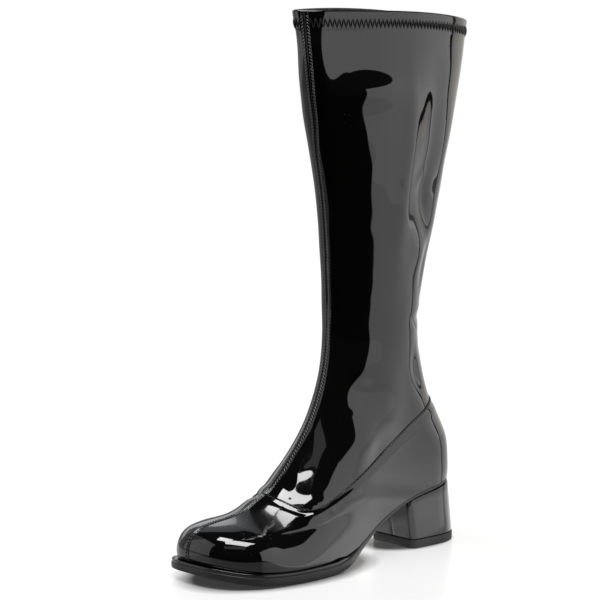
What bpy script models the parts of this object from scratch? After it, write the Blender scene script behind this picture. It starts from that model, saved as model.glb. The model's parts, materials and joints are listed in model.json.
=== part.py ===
"""Child's left knee boot with a block heel.

Sizes are in millimetres. s runs forward from the back of the heel, q to the
outer side of the foot and z up from the floor. The object itself is placed
with +X to the outer side, the toe at -Y and +Z up.
"""
import math

import bpy
import numpy as np

MM = 0.001

# Walls and clearances
SHAFT_WALL = 1.4
UPPER_WALL = 1.3
GAP = 0.3

# Foot form: toe box, heel curve and fullness of the cross sections
TOE_TIP = 219.3
TOE_START = 172.0
TOE_ROUND = 2.9
HEEL_CURVE = 25.0
HEEL_ROUND = 2.15
SEAM_RING = 1.0
ANKLE_RING = 2.0

# Collar hem and front seam, both raised out of the shaft's wall
COLLAR_RING = 3.55
HEM_RING = 3.468
HEM_RAISE = 0.9
LAP_RING = 0.87
SEAM_HALF = 2.4
SEAM_SLOPE = 0.5
SEAM_RAISE = 0.5
RIM_FALL = 3.4
RIM_INNER_RISE = 1.8

# Sole, welt and heel
EDGE_ROUND = 0.7
WELT_END = 117.0
WELT_HEIGHT = 2.1
WELT_GROOVE = 0.9
INSOLE_THICK = 2.0
INSOLE_INSET = 0.4
TOP_PIECE_THICK = 6.0
HEEL_BACK_LOW = 1.0
HEEL_BACK_HIGH = 5.8
HEEL_BREAST_LOW = 50.0
HEEL_BREAST_HIGH = 54.5
HEEL_HALF_LOW = 20.6
HEEL_HALF_HIGH = 21.0
HEEL_CORNER = 4.0
HEEL_BACK_CURVE = 24.0

# Middle of the outsole's width, which the object is centred on
MIDDLE_Q = 0.25

# Number of columns round the boot
SIDE_COLUMNS = 23
FIRST_COLUMN = 0.22

# Rings from the sole (0) over the lapped seam (1) and ankle (2) to the collar;
# twist is how far the front seam is pulled round to the outer side, in degrees
RING_COLUMNS = ("ring", "front_s", "front_z", "back_s", "back_z", "half_width", "ridge", "twist")
RINGS = (
    (0.00, 217.6, 11.4, 7.0, 46.0, 38.0, 0.0, 0.0),
    (0.14, 219.0, 17.0, 6.6, 51.0, 38.0, 0.0, 0.0),
    (0.28, 218.2, 23.4, 6.8, 57.0, 38.0, 0.0, 0.0),
    (0.40, 214.5, 29.0, 7.2, 63.5, 38.0, 0.0, 0.0),
    (0.50, 207.4, 32.6, 7.9, 69.0, 37.0, 0.0, 0.0),
    (0.58, 198.0, 34.4, 9.2, 74.0, 36.0, 0.0, 0.0),
    (0.66, 188.0, 35.9, 11.4, 79.0, 35.0, 0.0, 0.0),
    (0.74, 178.5, 38.4, 14.4, 84.5, 33.5, 0.0, 0.0),
    (0.86, 169.5, 43.2, 19.0, 93.0, 31.0, 0.02, 0.0),
    (1.00, 161.0, 49.2, 23.0, 102.0, 29.0, 0.05, 0.0),
    (1.24, 142.6, 69.5, 28.2, 116.0, 27.0, 0.12, 0.0),
    (1.52, 121.8, 101.0, 32.5, 135.0, 25.6, 0.22, 0.0),
    (1.80, 111.4, 137.0, 34.0, 153.0, 25.0, 0.24, 0.0),
    (2.00, 110.0, 160.0, 33.2, 166.0, 25.2, 0.18, 0.0),
    (2.25, 110.6, 190.0, 28.6, 190.0, 26.2, 0.10, 0.0),
    (2.50, 112.6, 224.0, 19.8, 220.0, 28.4, 0.06, 0.0),
    (2.80, 118.6, 262.0, 11.4, 257.0, 30.6, 0.05, 1.5),
    (3.10, 127.6, 300.0, 1.2, 295.0, 31.0, 0.10, 10.0),
    (3.35, 134.4, 334.0, -8.6, 328.0, 27.0, 0.12, 14.5),
    (3.55, 138.4, 361.0, -13.2, 353.6, 25.4, 0.12, 15.5),
)

# Height of the lapped seam off the straight line from its back to its front
SEAM_COLUMNS = ("along", "off")
SEAM_LINE = (
    (0.00, 0.0),
    (0.25, -4.0),
    (0.50, -10.6),
    (0.75, -14.2),
    (0.90, -12.4),
    (0.97, -6.0),
    (1.00, 0.0),
)

# Foot plan at the sole: outer and inner half widths and the ridge's swing
PLAN_COLUMNS = ("s", "outer", "inner", "swing", "side_round", "crown_round")
PLAN = (
    (0.0, 18.8, 18.8, 0.0, 2.0, 1.9),
    (25.0, 19.8, 19.6, 0.0, 2.0, 1.9),
    (50.0, 20.6, 20.0, 0.0, 2.0, 1.9),
    (70.0, 22.0, 20.2, 0.0, 2.0, 1.9),
    (90.0, 24.8, 21.0, 0.0, 1.95, 1.9),
    (105.0, 28.0, 23.0, 0.0, 1.9, 1.9),
    (120.0, 31.4, 26.2, -0.5, 1.9, 1.9),
    (140.0, 35.2, 31.0, -1.5, 1.9, 1.9),
    (160.0, 36.8, 34.0, -3.5, 1.9, 1.9),
    (178.0, 35.6, 35.6, -6.0, 2.15, 2.4),
    (195.0, 34.5, 36.8, -8.2, 2.6, 3.9),
    (222.0, 33.0, 37.0, -10.0, 2.6, 4.6),
)

# Height of the instep's ridge above the sole
CROWN_COLUMNS = ("s", "height")
CROWN = (
    (60.0, 3000.0),
    (75.0, 900.0),
    (90.0, 330.0),
    (100.0, 190.0),
    (110.0, 126.0),
    (120.0, 93.0),
    (133.0, 74.0),
    (142.0, 63.4),
    (151.0, 53.0),
    (161.0, 44.3),
    (171.5, 36.8),
    (180.0, 33.0),
    (190.0, 31.0),
    (205.0, 30.0),
    (222.0, 29.0),
)

# Outsole: underside, thickness and how far it stands out past the foot form
SOLE_COLUMNS = ("s", "under", "thick", "margin")
SOLE = (
    (0.0, 44.6, 2.2, 0.9),
    (25.0, 39.7, 2.3, 1.0),
    (54.0, 34.0, 2.6, 1.2),
    (75.0, 26.3, 3.0, 1.4),
    (90.0, 18.8, 3.4, 1.5),
    (105.0, 9.8, 4.8, 1.8),
    (115.0, 4.6, 5.6, 3.2),
    (125.0, 1.6, 5.8, 4.6),
    (138.0, 0.0, 5.7, 5.1),
    (168.0, 0.0, 5.5, 5.3),
    (196.0, 1.7, 5.2, 5.8),
    (226.0, 7.4, 4.1, 6.2),
)


def column(columns, rows, name):
    """One named column of a table."""
    place = columns.index(name)
    return np.array([row[place] for row in rows], float)


def spline(xs, ys):
    """Smooth curve through table points (natural cubic)."""
    n = len(xs)
    h = np.diff(xs)
    a = np.eye(n)
    r = np.zeros(n)
    for i in range(1, n - 1):
        a[i, i - 1:i + 2] = h[i - 1], 2 * (h[i - 1] + h[i]), h[i]
        r[i] = 6 * ((ys[i + 1] - ys[i]) / h[i] - (ys[i] - ys[i - 1]) / h[i - 1])
    m = np.linalg.solve(a, r)

    def value(x):
        x = np.asarray(x, float)
        i = np.clip(np.searchsorted(xs, x) - 1, 0, n - 2)
        w = h[i]
        e = xs[i + 1] - x
        d = x - xs[i]
        bend = (m[i] * e ** 3 + m[i + 1] * d ** 3) / (6 * w)
        return bend + (ys[i] / w - m[i] * w / 6) * e + (ys[i + 1] / w - m[i + 1] * w / 6) * d

    return value


def monotone(xs, ys):
    """Smooth curve through table points that never overshoots them."""
    n = len(xs)
    h = np.diff(xs)
    d = np.diff(ys) / h
    m = np.zeros(n)
    m[0] = d[0]
    m[-1] = d[-1]
    for i in range(1, n - 1):
        if d[i - 1] * d[i] > 0:
            p = 2 * h[i] + h[i - 1]
            q = h[i] + 2 * h[i - 1]
            m[i] = (p + q) / (p / d[i - 1] + q / d[i])

    def value(x):
        x = np.clip(np.asarray(x, float), xs[0], xs[-1])
        i = np.clip(np.searchsorted(xs, x) - 1, 0, n - 2)
        w = h[i]
        t = (x - xs[i]) / w
        low = (1 + 2 * t) * (1 - t) ** 2 * ys[i] + t * (1 - t) ** 2 * w * m[i]
        return low + t * t * (3 - 2 * t) * ys[i + 1] + t * t * (t - 1) * w * m[i + 1]

    return value


def curve(columns, rows, name, kind=spline):
    """A table's named column as a smooth curve over its first column."""
    return kind(column(columns, rows, columns[0]), column(columns, rows, name))


def ease(x):
    """0 to 1 with soft ends."""
    x = np.clip(x, 0.0, 1.0)
    return x * x * x * (x * (6 * x - 15) + 10)


FRONT_S = curve(RING_COLUMNS, RINGS, "front_s")
FRONT_Z = curve(RING_COLUMNS, RINGS, "front_z")
BACK_S = curve(RING_COLUMNS, RINGS, "back_s")
BACK_Z = curve(RING_COLUMNS, RINGS, "back_z")
HALF = curve(RING_COLUMNS, RINGS, "half_width")
RIDGE = curve(RING_COLUMNS, RINGS, "ridge")
TWIST = curve(RING_COLUMNS, RINGS, "twist", monotone)
SEAM_OFF = curve(SEAM_COLUMNS, SEAM_LINE, "off")
OUTER = curve(PLAN_COLUMNS, PLAN, "outer")
INNER = curve(PLAN_COLUMNS, PLAN, "inner")
SWING = curve(PLAN_COLUMNS, PLAN, "swing")
SIDE_ROUND = curve(PLAN_COLUMNS, PLAN, "side_round", monotone)
CROWN_ROUND = curve(PLAN_COLUMNS, PLAN, "crown_round", monotone)
SOLE_UNDER = curve(SOLE_COLUMNS, SOLE, "under", monotone)
SOLE_THICK = curve(SOLE_COLUMNS, SOLE, "thick", monotone)
SOLE_MARGIN = curve(SOLE_COLUMNS, SOLE, "margin", monotone)
CROWN_LOW = spline(column(CROWN_COLUMNS, CROWN, "s"), 1.0 / column(CROWN_COLUMNS, CROWN, "height"))


def sole_top(s):
    """Height of the outsole's upper face."""
    return SOLE_UNDER(s) + SOLE_THICK(s)


def feather(s):
    """Height of the upper's lower edge."""
    return sole_top(s) + GAP


def sole_off(along):
    """Height of the sole line off the straight line from heel to toe."""
    s = BACK_S(0.0) + along * (FRONT_S(0.0) - BACK_S(0.0))
    low = feather(s[..., :1] * 0 + BACK_S(0.0))
    high = feather(s[..., :1] * 0 + FRONT_S(0.0))
    return feather(s) - (low + along * (high - low))


def crowd(s, z):
    """How near a point of a cross section is to the ridge line (1 on it)."""
    height = np.clip((z - feather(s)) * np.maximum(CROWN_LOW(np.clip(s, 60.0, 222.0)), 0.0), 0.0, None)
    toe = np.clip((s - TOE_START) / (TOE_TIP - TOE_START), 0.0, None)
    return toe ** TOE_ROUND + height ** CROWN_ROUND(s)


def form(turn, ring):
    """Points of the boot's form at turns round it (0 front seam, pi back) and rings up it."""
    turn = turn + np.radians(TWIST(ring))
    along = (1 + np.cos(turn)) / 2
    side = np.sign(np.round(np.sin(turn), 9))
    s = BACK_S(ring) + along * (FRONT_S(ring) - BACK_S(ring))
    z = BACK_Z(ring) + along * (FRONT_Z(ring) - BACK_Z(ring))
    low = np.clip(ring, 0.0, 1.0)
    fade = 1 - ease((ring - SEAM_RING) / (ANKLE_RING - SEAM_RING))
    z = z + ((1 - low) * sole_off(along) + low * SEAM_OFF(along)) * fade
    worn = ease((ring - ANKLE_RING) / (COLLAR_RING - ANKLE_RING))
    fall = (FRONT_Z(ring) - BACK_Z(ring)) * worn
    z = z + fall * ((1 - along) - (1 - along) ** RIM_FALL)
    z = z + RIM_INNER_RISE * worn * np.where(side < 0, np.sin(turn) ** 2, 0.0)
    near = crowd(s, z) / np.maximum(crowd(FRONT_S(ring), FRONT_Z(ring)), 0.2)
    arch = np.clip(1 - near, 0.0, 1.0) ** (1 / SIDE_ROUND(s))
    heel = np.clip((s - BACK_S(ring)) / HEEL_CURVE, 0.0, 1.0)
    arch = arch * (1 - (1 - heel) ** HEEL_ROUND) ** (1 / HEEL_ROUND)
    width = np.where(side > 0, OUTER(s) - SWING(s), INNER(s) + SWING(s))
    leg = HALF(ring) * np.abs(np.sin(turn)) * (1 - RIDGE(ring) * along ** 2)
    q = fade * width * arch + (1 - fade) * leg
    return np.stack([s, fade * SWING(s) + side * q, z], axis=-1)


def outward(turn, ring):
    """Unit vectors square to the form."""
    du = 0.02
    dv = 0.004
    across = form(turn + du, ring) - form(turn - du, ring)
    up = form(turn, ring + dv) - form(turn, ring - dv)
    n = np.cross(across, up)
    return n / np.linalg.norm(n, axis=-1, keepdims=True)


def columns_at(ring):
    """Turns of the columns at a ring, with two close ones beside the front seam."""
    edge = math.asin(SEAM_HALF / float(HALF(ring)))
    foot = math.asin((SEAM_HALF + SEAM_SLOPE) / float(HALF(ring)))
    half = [0.0, edge, foot] + list(np.linspace(FIRST_COLUMN, math.pi, SIDE_COLUMNS))
    return np.array(half + [2 * math.pi - t for t in half[-2:0:-1]])


def shell_row(ring, raise_by, front_raise=0.0):
    """One ring of points, moved out from the form."""
    turn = columns_at(ring)
    rings = np.full_like(turn, ring)
    off = np.full_like(turn, raise_by)
    off[[0, 1, -1]] += front_raise
    return form(turn, rings) + outward(turn, rings) * off[:, None]


def own_material(name, colour, roughness):
    """The piece's own material."""
    material = bpy.data.materials.new(name)
    material.use_nodes = True
    shader = material.node_tree.nodes["Principled BSDF"]
    shader.inputs["Base Color"].default_value = (*colour, 1.0)
    shader.inputs["Roughness"].default_value = roughness
    shader.inputs["Metallic"].default_value = 0.0
    return material


def add_object(name, points, faces, colour, roughness):
    """A named mesh object from points in s, q, z millimetres."""
    centre = (FRONT_S(0.0) + SOLE_MARGIN(TOE_TIP) + BACK_S(COLLAR_RING) - HEM_RAISE) / 2
    points = np.asarray(points, float)
    place = np.stack([points[:, 1] - MIDDLE_Q, centre - points[:, 0], points[:, 2]], axis=-1) * MM
    mesh = bpy.data.meshes.new(name)
    mesh.from_pydata(place.tolist(), [], faces)
    mesh.validate()
    mesh.shade_smooth()
    mesh.set_sharp_from_angle(angle=math.radians(40))
    mesh.materials.append(own_material(name, colour, roughness))
    thing = bpy.data.objects.new(name, mesh)
    bpy.context.collection.objects.link(thing)
    return thing


def belt(lower, upper, count):
    """Faces between two closed rows of points."""
    faces = []
    for j in range(count):
        k = (j + 1) % count
        faces.append((lower + j, lower + k, upper + k, upper + j))
    return faces


def across(start, count, up):
    """Faces that close a row from its outer to its inner side."""
    faces = []
    for j in range(count // 2):
        ring = [start + j, start + j + 1, start + (count - j - 1) % count, start + (count - j) % count]
        face = [p for i, p in enumerate(ring) if p not in ring[:i]]
        faces.append(tuple(face if up else face[::-1]))
    return faces


def add_shell(name, rows, colour, roughness):
    """A hollow tube from rows that run up its outside and down its inside."""
    count = len(rows[0])
    faces = []
    for i in range(len(rows)):
        faces += belt(i * count, ((i + 1) % len(rows)) * count, count)
    return add_object(name, np.concatenate(rows), faces, colour, roughness)


def add_stack(name, rows, colour, roughness):
    """A full solid from rows that run from its underside to its top."""
    count = len(rows[0])
    faces = across(0, count, False)
    for i in range(len(rows) - 1):
        faces += belt(i * count, (i + 1) * count, count)
    faces += across((len(rows) - 1) * count, count, True)
    return add_object(name, np.concatenate(rows), faces, colour, roughness)


def plan_row(margin, height):
    """The sole's outline, moved out by a margin and set to a height over s."""
    turn = columns_at(0.0)
    rings = np.zeros_like(turn)
    flat = form(turn, rings)
    n = outward(turn, rings)
    n[:, 2] = 0.0
    n /= np.linalg.norm(n, axis=-1, keepdims=True)
    row = flat + n * margin(flat[:, 0])[:, None]
    row[:, 2] = height(row[:, 0])
    return row


def add_upper():
    """Foot part: vamp and counter in one wall, lapped over the shaft."""
    rings = (0.0, 0.07, 0.14, 0.21, 0.28, 0.34, 0.40, 0.46, 0.52, 0.58, 0.64, 0.70, 0.78, 0.88, SEAM_RING)
    outside = [shell_row(v, GAP + UPPER_WALL) for v in rings]
    inside = [shell_row(v, GAP) for v in rings[::-1]]
    for row in (outside[0], inside[-1]):
        row[:, 2] = feather(row[:, 0])
    return add_shell("upper", outside + inside, (0.006, 0.006, 0.007), 0.08)


def add_shaft():
    """Leg part with the raised front seam and the thicker hem at the collar."""
    rings = (LAP_RING, 0.935, 1.0, 1.06, 1.15, 1.26, 1.38, 1.52, 1.68, 1.84, 2.0,
             2.2, 2.4, 2.6, 2.8, 3.0, 3.16, 3.32, HEM_RING - 0.003)
    outside = [shell_row(v, 0.0, SEAM_RAISE if v > 1.03 else 0.0) for v in rings]
    outside += [shell_row(v, HEM_RAISE) for v in (HEM_RING, COLLAR_RING)]
    inside = [shell_row(v, -SHAFT_WALL - HEM_RAISE) for v in (COLLAR_RING, HEM_RING)]
    inside += [shell_row(v, -SHAFT_WALL) for v in rings[::-1]]
    return add_shell("shaft", outside + inside, (0.006, 0.006, 0.007), 0.08)


def add_outsole():
    """Full-length outsole with arch, toe spring and rounded edges."""
    def under(s):
        return SOLE_UNDER(s)

    def under_edge(s):
        return SOLE_UNDER(s) + EDGE_ROUND

    def top_edge(s):
        return sole_top(s) - EDGE_ROUND

    def inset(s):
        return SOLE_MARGIN(s) - EDGE_ROUND

    rows = [plan_row(inset, under), plan_row(SOLE_MARGIN, under_edge),
            plan_row(SOLE_MARGIN, top_edge), plan_row(inset, sole_top)]
    return add_stack("outsole", rows, (0.012, 0.012, 0.013), 0.42)


def add_insole():
    """Sock that covers the sole inside the upper."""
    def low(s):
        return sole_top(s) + GAP

    def high(s):
        return sole_top(s) + GAP + INSOLE_THICK

    def inset(s):
        return np.full_like(s, -INSOLE_INSET)

    rows = [plan_row(inset, low), plan_row(inset, high)]
    return add_stack("insole", rows, (0.16, 0.12, 0.09), 0.8)


def add_welt():
    """Lip round the forefoot on the outsole's edge."""
    turn = columns_at(0.0)
    rings = np.zeros_like(turn)
    flat = form(turn, rings)
    n = outward(turn, rings)
    n[:, 2] = 0.0
    n /= np.linalg.norm(n, axis=-1, keepdims=True)
    picked = [j for j in range(len(turn)) if flat[j, 0] > WELT_END]
    split = [i for i in range(len(picked) - 1) if picked[i + 1] - picked[i] > 1][0]
    path = picked[split + 1:] + picked[:split + 1]
    inner = GAP + UPPER_WALL + WELT_GROOVE
    profile = ((0.0, 0.0), (1.0, 0.0), (1.08, 0.45), (1.0, 0.85), (0.75, 1.0), (0.0, 1.0))
    points = []
    for j in path:
        wide = float(SOLE_MARGIN(flat[j, 0])) - 0.5 - inner
        for out, up in profile:
            p = flat[j] + n[j] * (inner + out * wide)
            p[2] = float(sole_top(p[0])) + GAP + up * WELT_HEIGHT
            points.append(p)
    count = len(profile)
    faces = [tuple(range(count)), tuple((len(path) - 1) * count + k for k in reversed(range(count)))]
    for i in range(len(path) - 1):
        for k in range(count):
            a = i * count + k
            b = i * count + (k + 1) % count
            faces.append((a, a + count, b + count, b))
    return add_object("welt", points, faces, (0.008, 0.008, 0.009), 0.2)


def heel_row(level, margin, height):
    """D-shaped outline of the heel at a level from its foot (0) to its seat (1)."""
    back = HEEL_BACK_LOW + level * (HEEL_BACK_HIGH - HEEL_BACK_LOW) - margin
    breast = HEEL_BREAST_LOW + level * (HEEL_BREAST_HIGH - HEEL_BREAST_LOW) + margin
    half = HEEL_HALF_LOW + level * (HEEL_HALF_HIGH - HEEL_HALF_LOW) + margin
    side = [(breast, 0.0)]
    for k in range(4):
        a = k * math.pi / 6
        side.append((breast - HEEL_CORNER * (1 - math.cos(a)), half - HEEL_CORNER * (1 - math.sin(a))))
    centre = back + HEEL_BACK_CURVE
    for k in range(13):
        a = k * math.pi / 24
        side.append((centre - HEEL_BACK_CURVE * math.sin(a), half * math.cos(a) ** 0.92))
    side[-1] = (back, 0.0)
    line = side + [(s, -q) for s, q in side[-2:0:-1]]
    return np.array([(s, q, height(s)) for s, q in line])


def add_heel():
    """Covered heel block and the rubber top piece under it."""
    foot = TOP_PIECE_THICK + GAP
    rows = []
    for level in (0.0, 0.3, 0.65, 1.0):
        def height(s, level=level):
            return foot + level * (float(SOLE_UNDER(s)) - GAP - foot)

        rows.append(heel_row(level, 0.0, height))
    add_stack("heel_block", rows, (0.006, 0.006, 0.007), 0.1)
    rows = []
    for margin, z in ((-0.4, 0.0), (0.2, 0.7), (0.2, TOP_PIECE_THICK)):
        rows.append(heel_row(0.0, margin, lambda s, z=z: z))
    add_stack("heel_top_piece", rows, (0.014, 0.014, 0.014), 0.6)


def main():
    """Clear the scene and build every piece of the boot."""
    for thing in list(bpy.data.objects):
        bpy.data.objects.remove(thing)
    add_outsole()
    add_welt()
    add_heel()
    add_insole()
    add_upper()
    add_shaft()


main()
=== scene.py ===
"""Child's left knee boot in black patent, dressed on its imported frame.

Tables are in millimetres: s runs forward from the back of the heel, q to the
outer side of the foot and z up from the floor, as in the part's source.
"""
import json
import math

import bpy
import numpy as np
from bpy.props import FloatProperty, FloatVectorProperty, IntProperty, PointerProperty
from mathutils import Matrix, Vector

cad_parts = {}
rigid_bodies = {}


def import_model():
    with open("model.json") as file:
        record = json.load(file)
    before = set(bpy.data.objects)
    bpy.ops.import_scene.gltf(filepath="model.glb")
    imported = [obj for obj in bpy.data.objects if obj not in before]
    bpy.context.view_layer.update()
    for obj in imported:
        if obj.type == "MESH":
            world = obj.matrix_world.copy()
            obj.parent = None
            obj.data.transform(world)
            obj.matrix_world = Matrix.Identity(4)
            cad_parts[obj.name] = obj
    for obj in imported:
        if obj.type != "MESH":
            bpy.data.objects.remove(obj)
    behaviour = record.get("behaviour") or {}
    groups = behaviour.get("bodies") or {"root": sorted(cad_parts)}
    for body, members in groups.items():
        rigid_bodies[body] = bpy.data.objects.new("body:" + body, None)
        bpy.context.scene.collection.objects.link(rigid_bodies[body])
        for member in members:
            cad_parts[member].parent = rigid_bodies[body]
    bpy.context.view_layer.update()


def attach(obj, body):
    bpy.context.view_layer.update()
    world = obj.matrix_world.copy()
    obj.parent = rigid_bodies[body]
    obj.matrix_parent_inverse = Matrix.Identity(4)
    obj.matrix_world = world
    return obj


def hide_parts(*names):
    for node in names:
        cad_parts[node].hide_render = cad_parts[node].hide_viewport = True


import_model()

bl_info = {
    "name": "Patent Knee Boot",
    "version": (1, 0, 0),
    "blender": (4, 5, 0),
    "location": "View3D > Sidebar > Boot",
    "description": "Builds a child's patent knee boot piece by piece on its packed frame",
    "category": "Object",
}

MM = 0.001
BODY = "root"

# ---------------------------------------------------------------- the boot's form
# The same tables as the part's source, so every piece lands on its solid.
SHAFT_WALL = 1.4
UPPER_WALL = 1.3
GAP = 0.3
TOE_TIP = 219.3
TOE_START = 172.0
TOE_ROUND = 2.9
HEEL_CURVE = 25.0
HEEL_ROUND = 2.15
SEAM_RING = 1.0
ANKLE_RING = 2.0
COLLAR_RING = 3.55
LAP_RING = 0.87
RIM_FALL = 3.4
RIM_INNER_RISE = 1.8
WELT_END = 117.0
WELT_HEIGHT = 2.1
WELT_GROOVE = 0.9
INSOLE_INSET = 0.4
TOP_PIECE_THICK = 6.0
HEEL_BACK = (1.0, 5.8)
HEEL_BREAST = (50.0, 54.5)
HEEL_HALF = (20.6, 21.0)
HEEL_CORNER = 4.0
HEEL_BACK_CURVE = 24.0
MIDDLE_Q = 0.25
SOLID_HEM = 0.9           # the solid's hem, which counts in the middle of the box
LEAST_CROWD = 0.2         # keeps the front line's own measure off zero

RING_COLUMNS = ("ring", "front_s", "front_z", "back_s", "back_z", "half_width", "ridge", "twist")
RINGS = (
    (0.00, 217.6, 11.4, 7.0, 46.0, 38.0, 0.0, 0.0),
    (0.14, 219.0, 17.0, 6.6, 51.0, 38.0, 0.0, 0.0),
    (0.28, 218.2, 23.4, 6.8, 57.0, 38.0, 0.0, 0.0),
    (0.40, 214.5, 29.0, 7.2, 63.5, 38.0, 0.0, 0.0),
    (0.50, 207.4, 32.6, 7.9, 69.0, 37.0, 0.0, 0.0),
    (0.58, 198.0, 34.4, 9.2, 74.0, 36.0, 0.0, 0.0),
    (0.66, 188.0, 35.9, 11.4, 79.0, 35.0, 0.0, 0.0),
    (0.74, 178.5, 38.4, 14.4, 84.5, 33.5, 0.0, 0.0),
    (0.86, 169.5, 43.2, 19.0, 93.0, 31.0, 0.02, 0.0),
    (1.00, 161.0, 49.2, 23.0, 102.0, 29.0, 0.05, 0.0),
    (1.24, 142.6, 69.5, 28.2, 116.0, 27.0, 0.12, 0.0),
    (1.52, 121.8, 101.0, 32.5, 135.0, 25.6, 0.22, 0.0),
    (1.80, 111.4, 137.0, 34.0, 153.0, 25.0, 0.24, 0.0),
    (2.00, 110.0, 160.0, 33.2, 166.0, 25.2, 0.18, 0.0),
    (2.25, 110.6, 190.0, 28.6, 190.0, 26.2, 0.10, 0.0),
    (2.50, 112.6, 224.0, 19.8, 220.0, 28.4, 0.06, 0.0),
    (2.80, 118.6, 262.0, 11.4, 257.0, 30.6, 0.05, 1.5),
    (3.10, 127.6, 300.0, 1.2, 295.0, 31.0, 0.10, 10.0),
    (3.35, 134.4, 334.0, -8.6, 328.0, 27.0, 0.12, 14.5),
    (3.55, 138.4, 361.0, -13.2, 353.6, 25.4, 0.12, 15.5),
)

# Height of the lapped seam off the straight line from its back to its front
SEAM_COLUMNS = ("along", "off")
SEAM_LINE = (
    (0.00, 0.0), (0.25, -4.0), (0.50, -10.6), (0.75, -14.2), (0.90, -12.4), (0.97, -6.0),
    (1.00, 0.0),
)

# Foot plan at the sole: outer and inner half widths and the ridge's swing
PLAN_COLUMNS = ("s", "outer", "inner", "swing", "side_round", "crown_round")
PLAN = (
    (0.0, 18.8, 18.8, 0.0, 2.0, 1.9),
    (25.0, 19.8, 19.6, 0.0, 2.0, 1.9),
    (50.0, 20.6, 20.0, 0.0, 2.0, 1.9),
    (70.0, 22.0, 20.2, 0.0, 2.0, 1.9),
    (90.0, 24.8, 21.0, 0.0, 1.95, 1.9),
    (105.0, 28.0, 23.0, 0.0, 1.9, 1.9),
    (120.0, 31.4, 26.2, -0.5, 1.9, 1.9),
    (140.0, 35.2, 31.0, -1.5, 1.9, 1.9),
    (160.0, 36.8, 34.0, -3.5, 1.9, 1.9),
    (178.0, 35.6, 35.6, -6.0, 2.15, 2.4),
    (195.0, 34.5, 36.8, -8.2, 2.6, 3.9),
    (222.0, 33.0, 37.0, -10.0, 2.6, 4.6),
)

# Height of the instep's ridge above the sole
CROWN_COLUMNS = ("s", "height")
CROWN = (
    (60.0, 3000.0), (75.0, 900.0), (90.0, 330.0), (100.0, 190.0), (110.0, 126.0), (120.0, 93.0),
    (133.0, 74.0), (142.0, 63.4), (151.0, 53.0), (161.0, 44.3), (171.5, 36.8), (180.0, 33.0),
    (190.0, 31.0), (205.0, 30.0), (222.0, 29.0),
)

# Outsole: underside, thickness and how far it stands out past the foot form
SOLE_COLUMNS = ("s", "under", "thick", "margin")
SOLE = (
    (0.0, 44.6, 2.2, 0.9),
    (25.0, 39.7, 2.3, 1.0),
    (54.0, 34.0, 2.6, 1.2),
    (75.0, 26.3, 3.0, 1.4),
    (90.0, 18.8, 3.4, 1.5),
    (105.0, 9.8, 4.8, 1.8),
    (115.0, 4.6, 5.6, 3.2),
    (125.0, 1.6, 5.8, 4.6),
    (138.0, 0.0, 5.7, 5.1),
    (168.0, 0.0, 5.5, 5.3),
    (196.0, 1.7, 5.2, 5.8),
    (226.0, 7.4, 4.1, 6.2),
)

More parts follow.
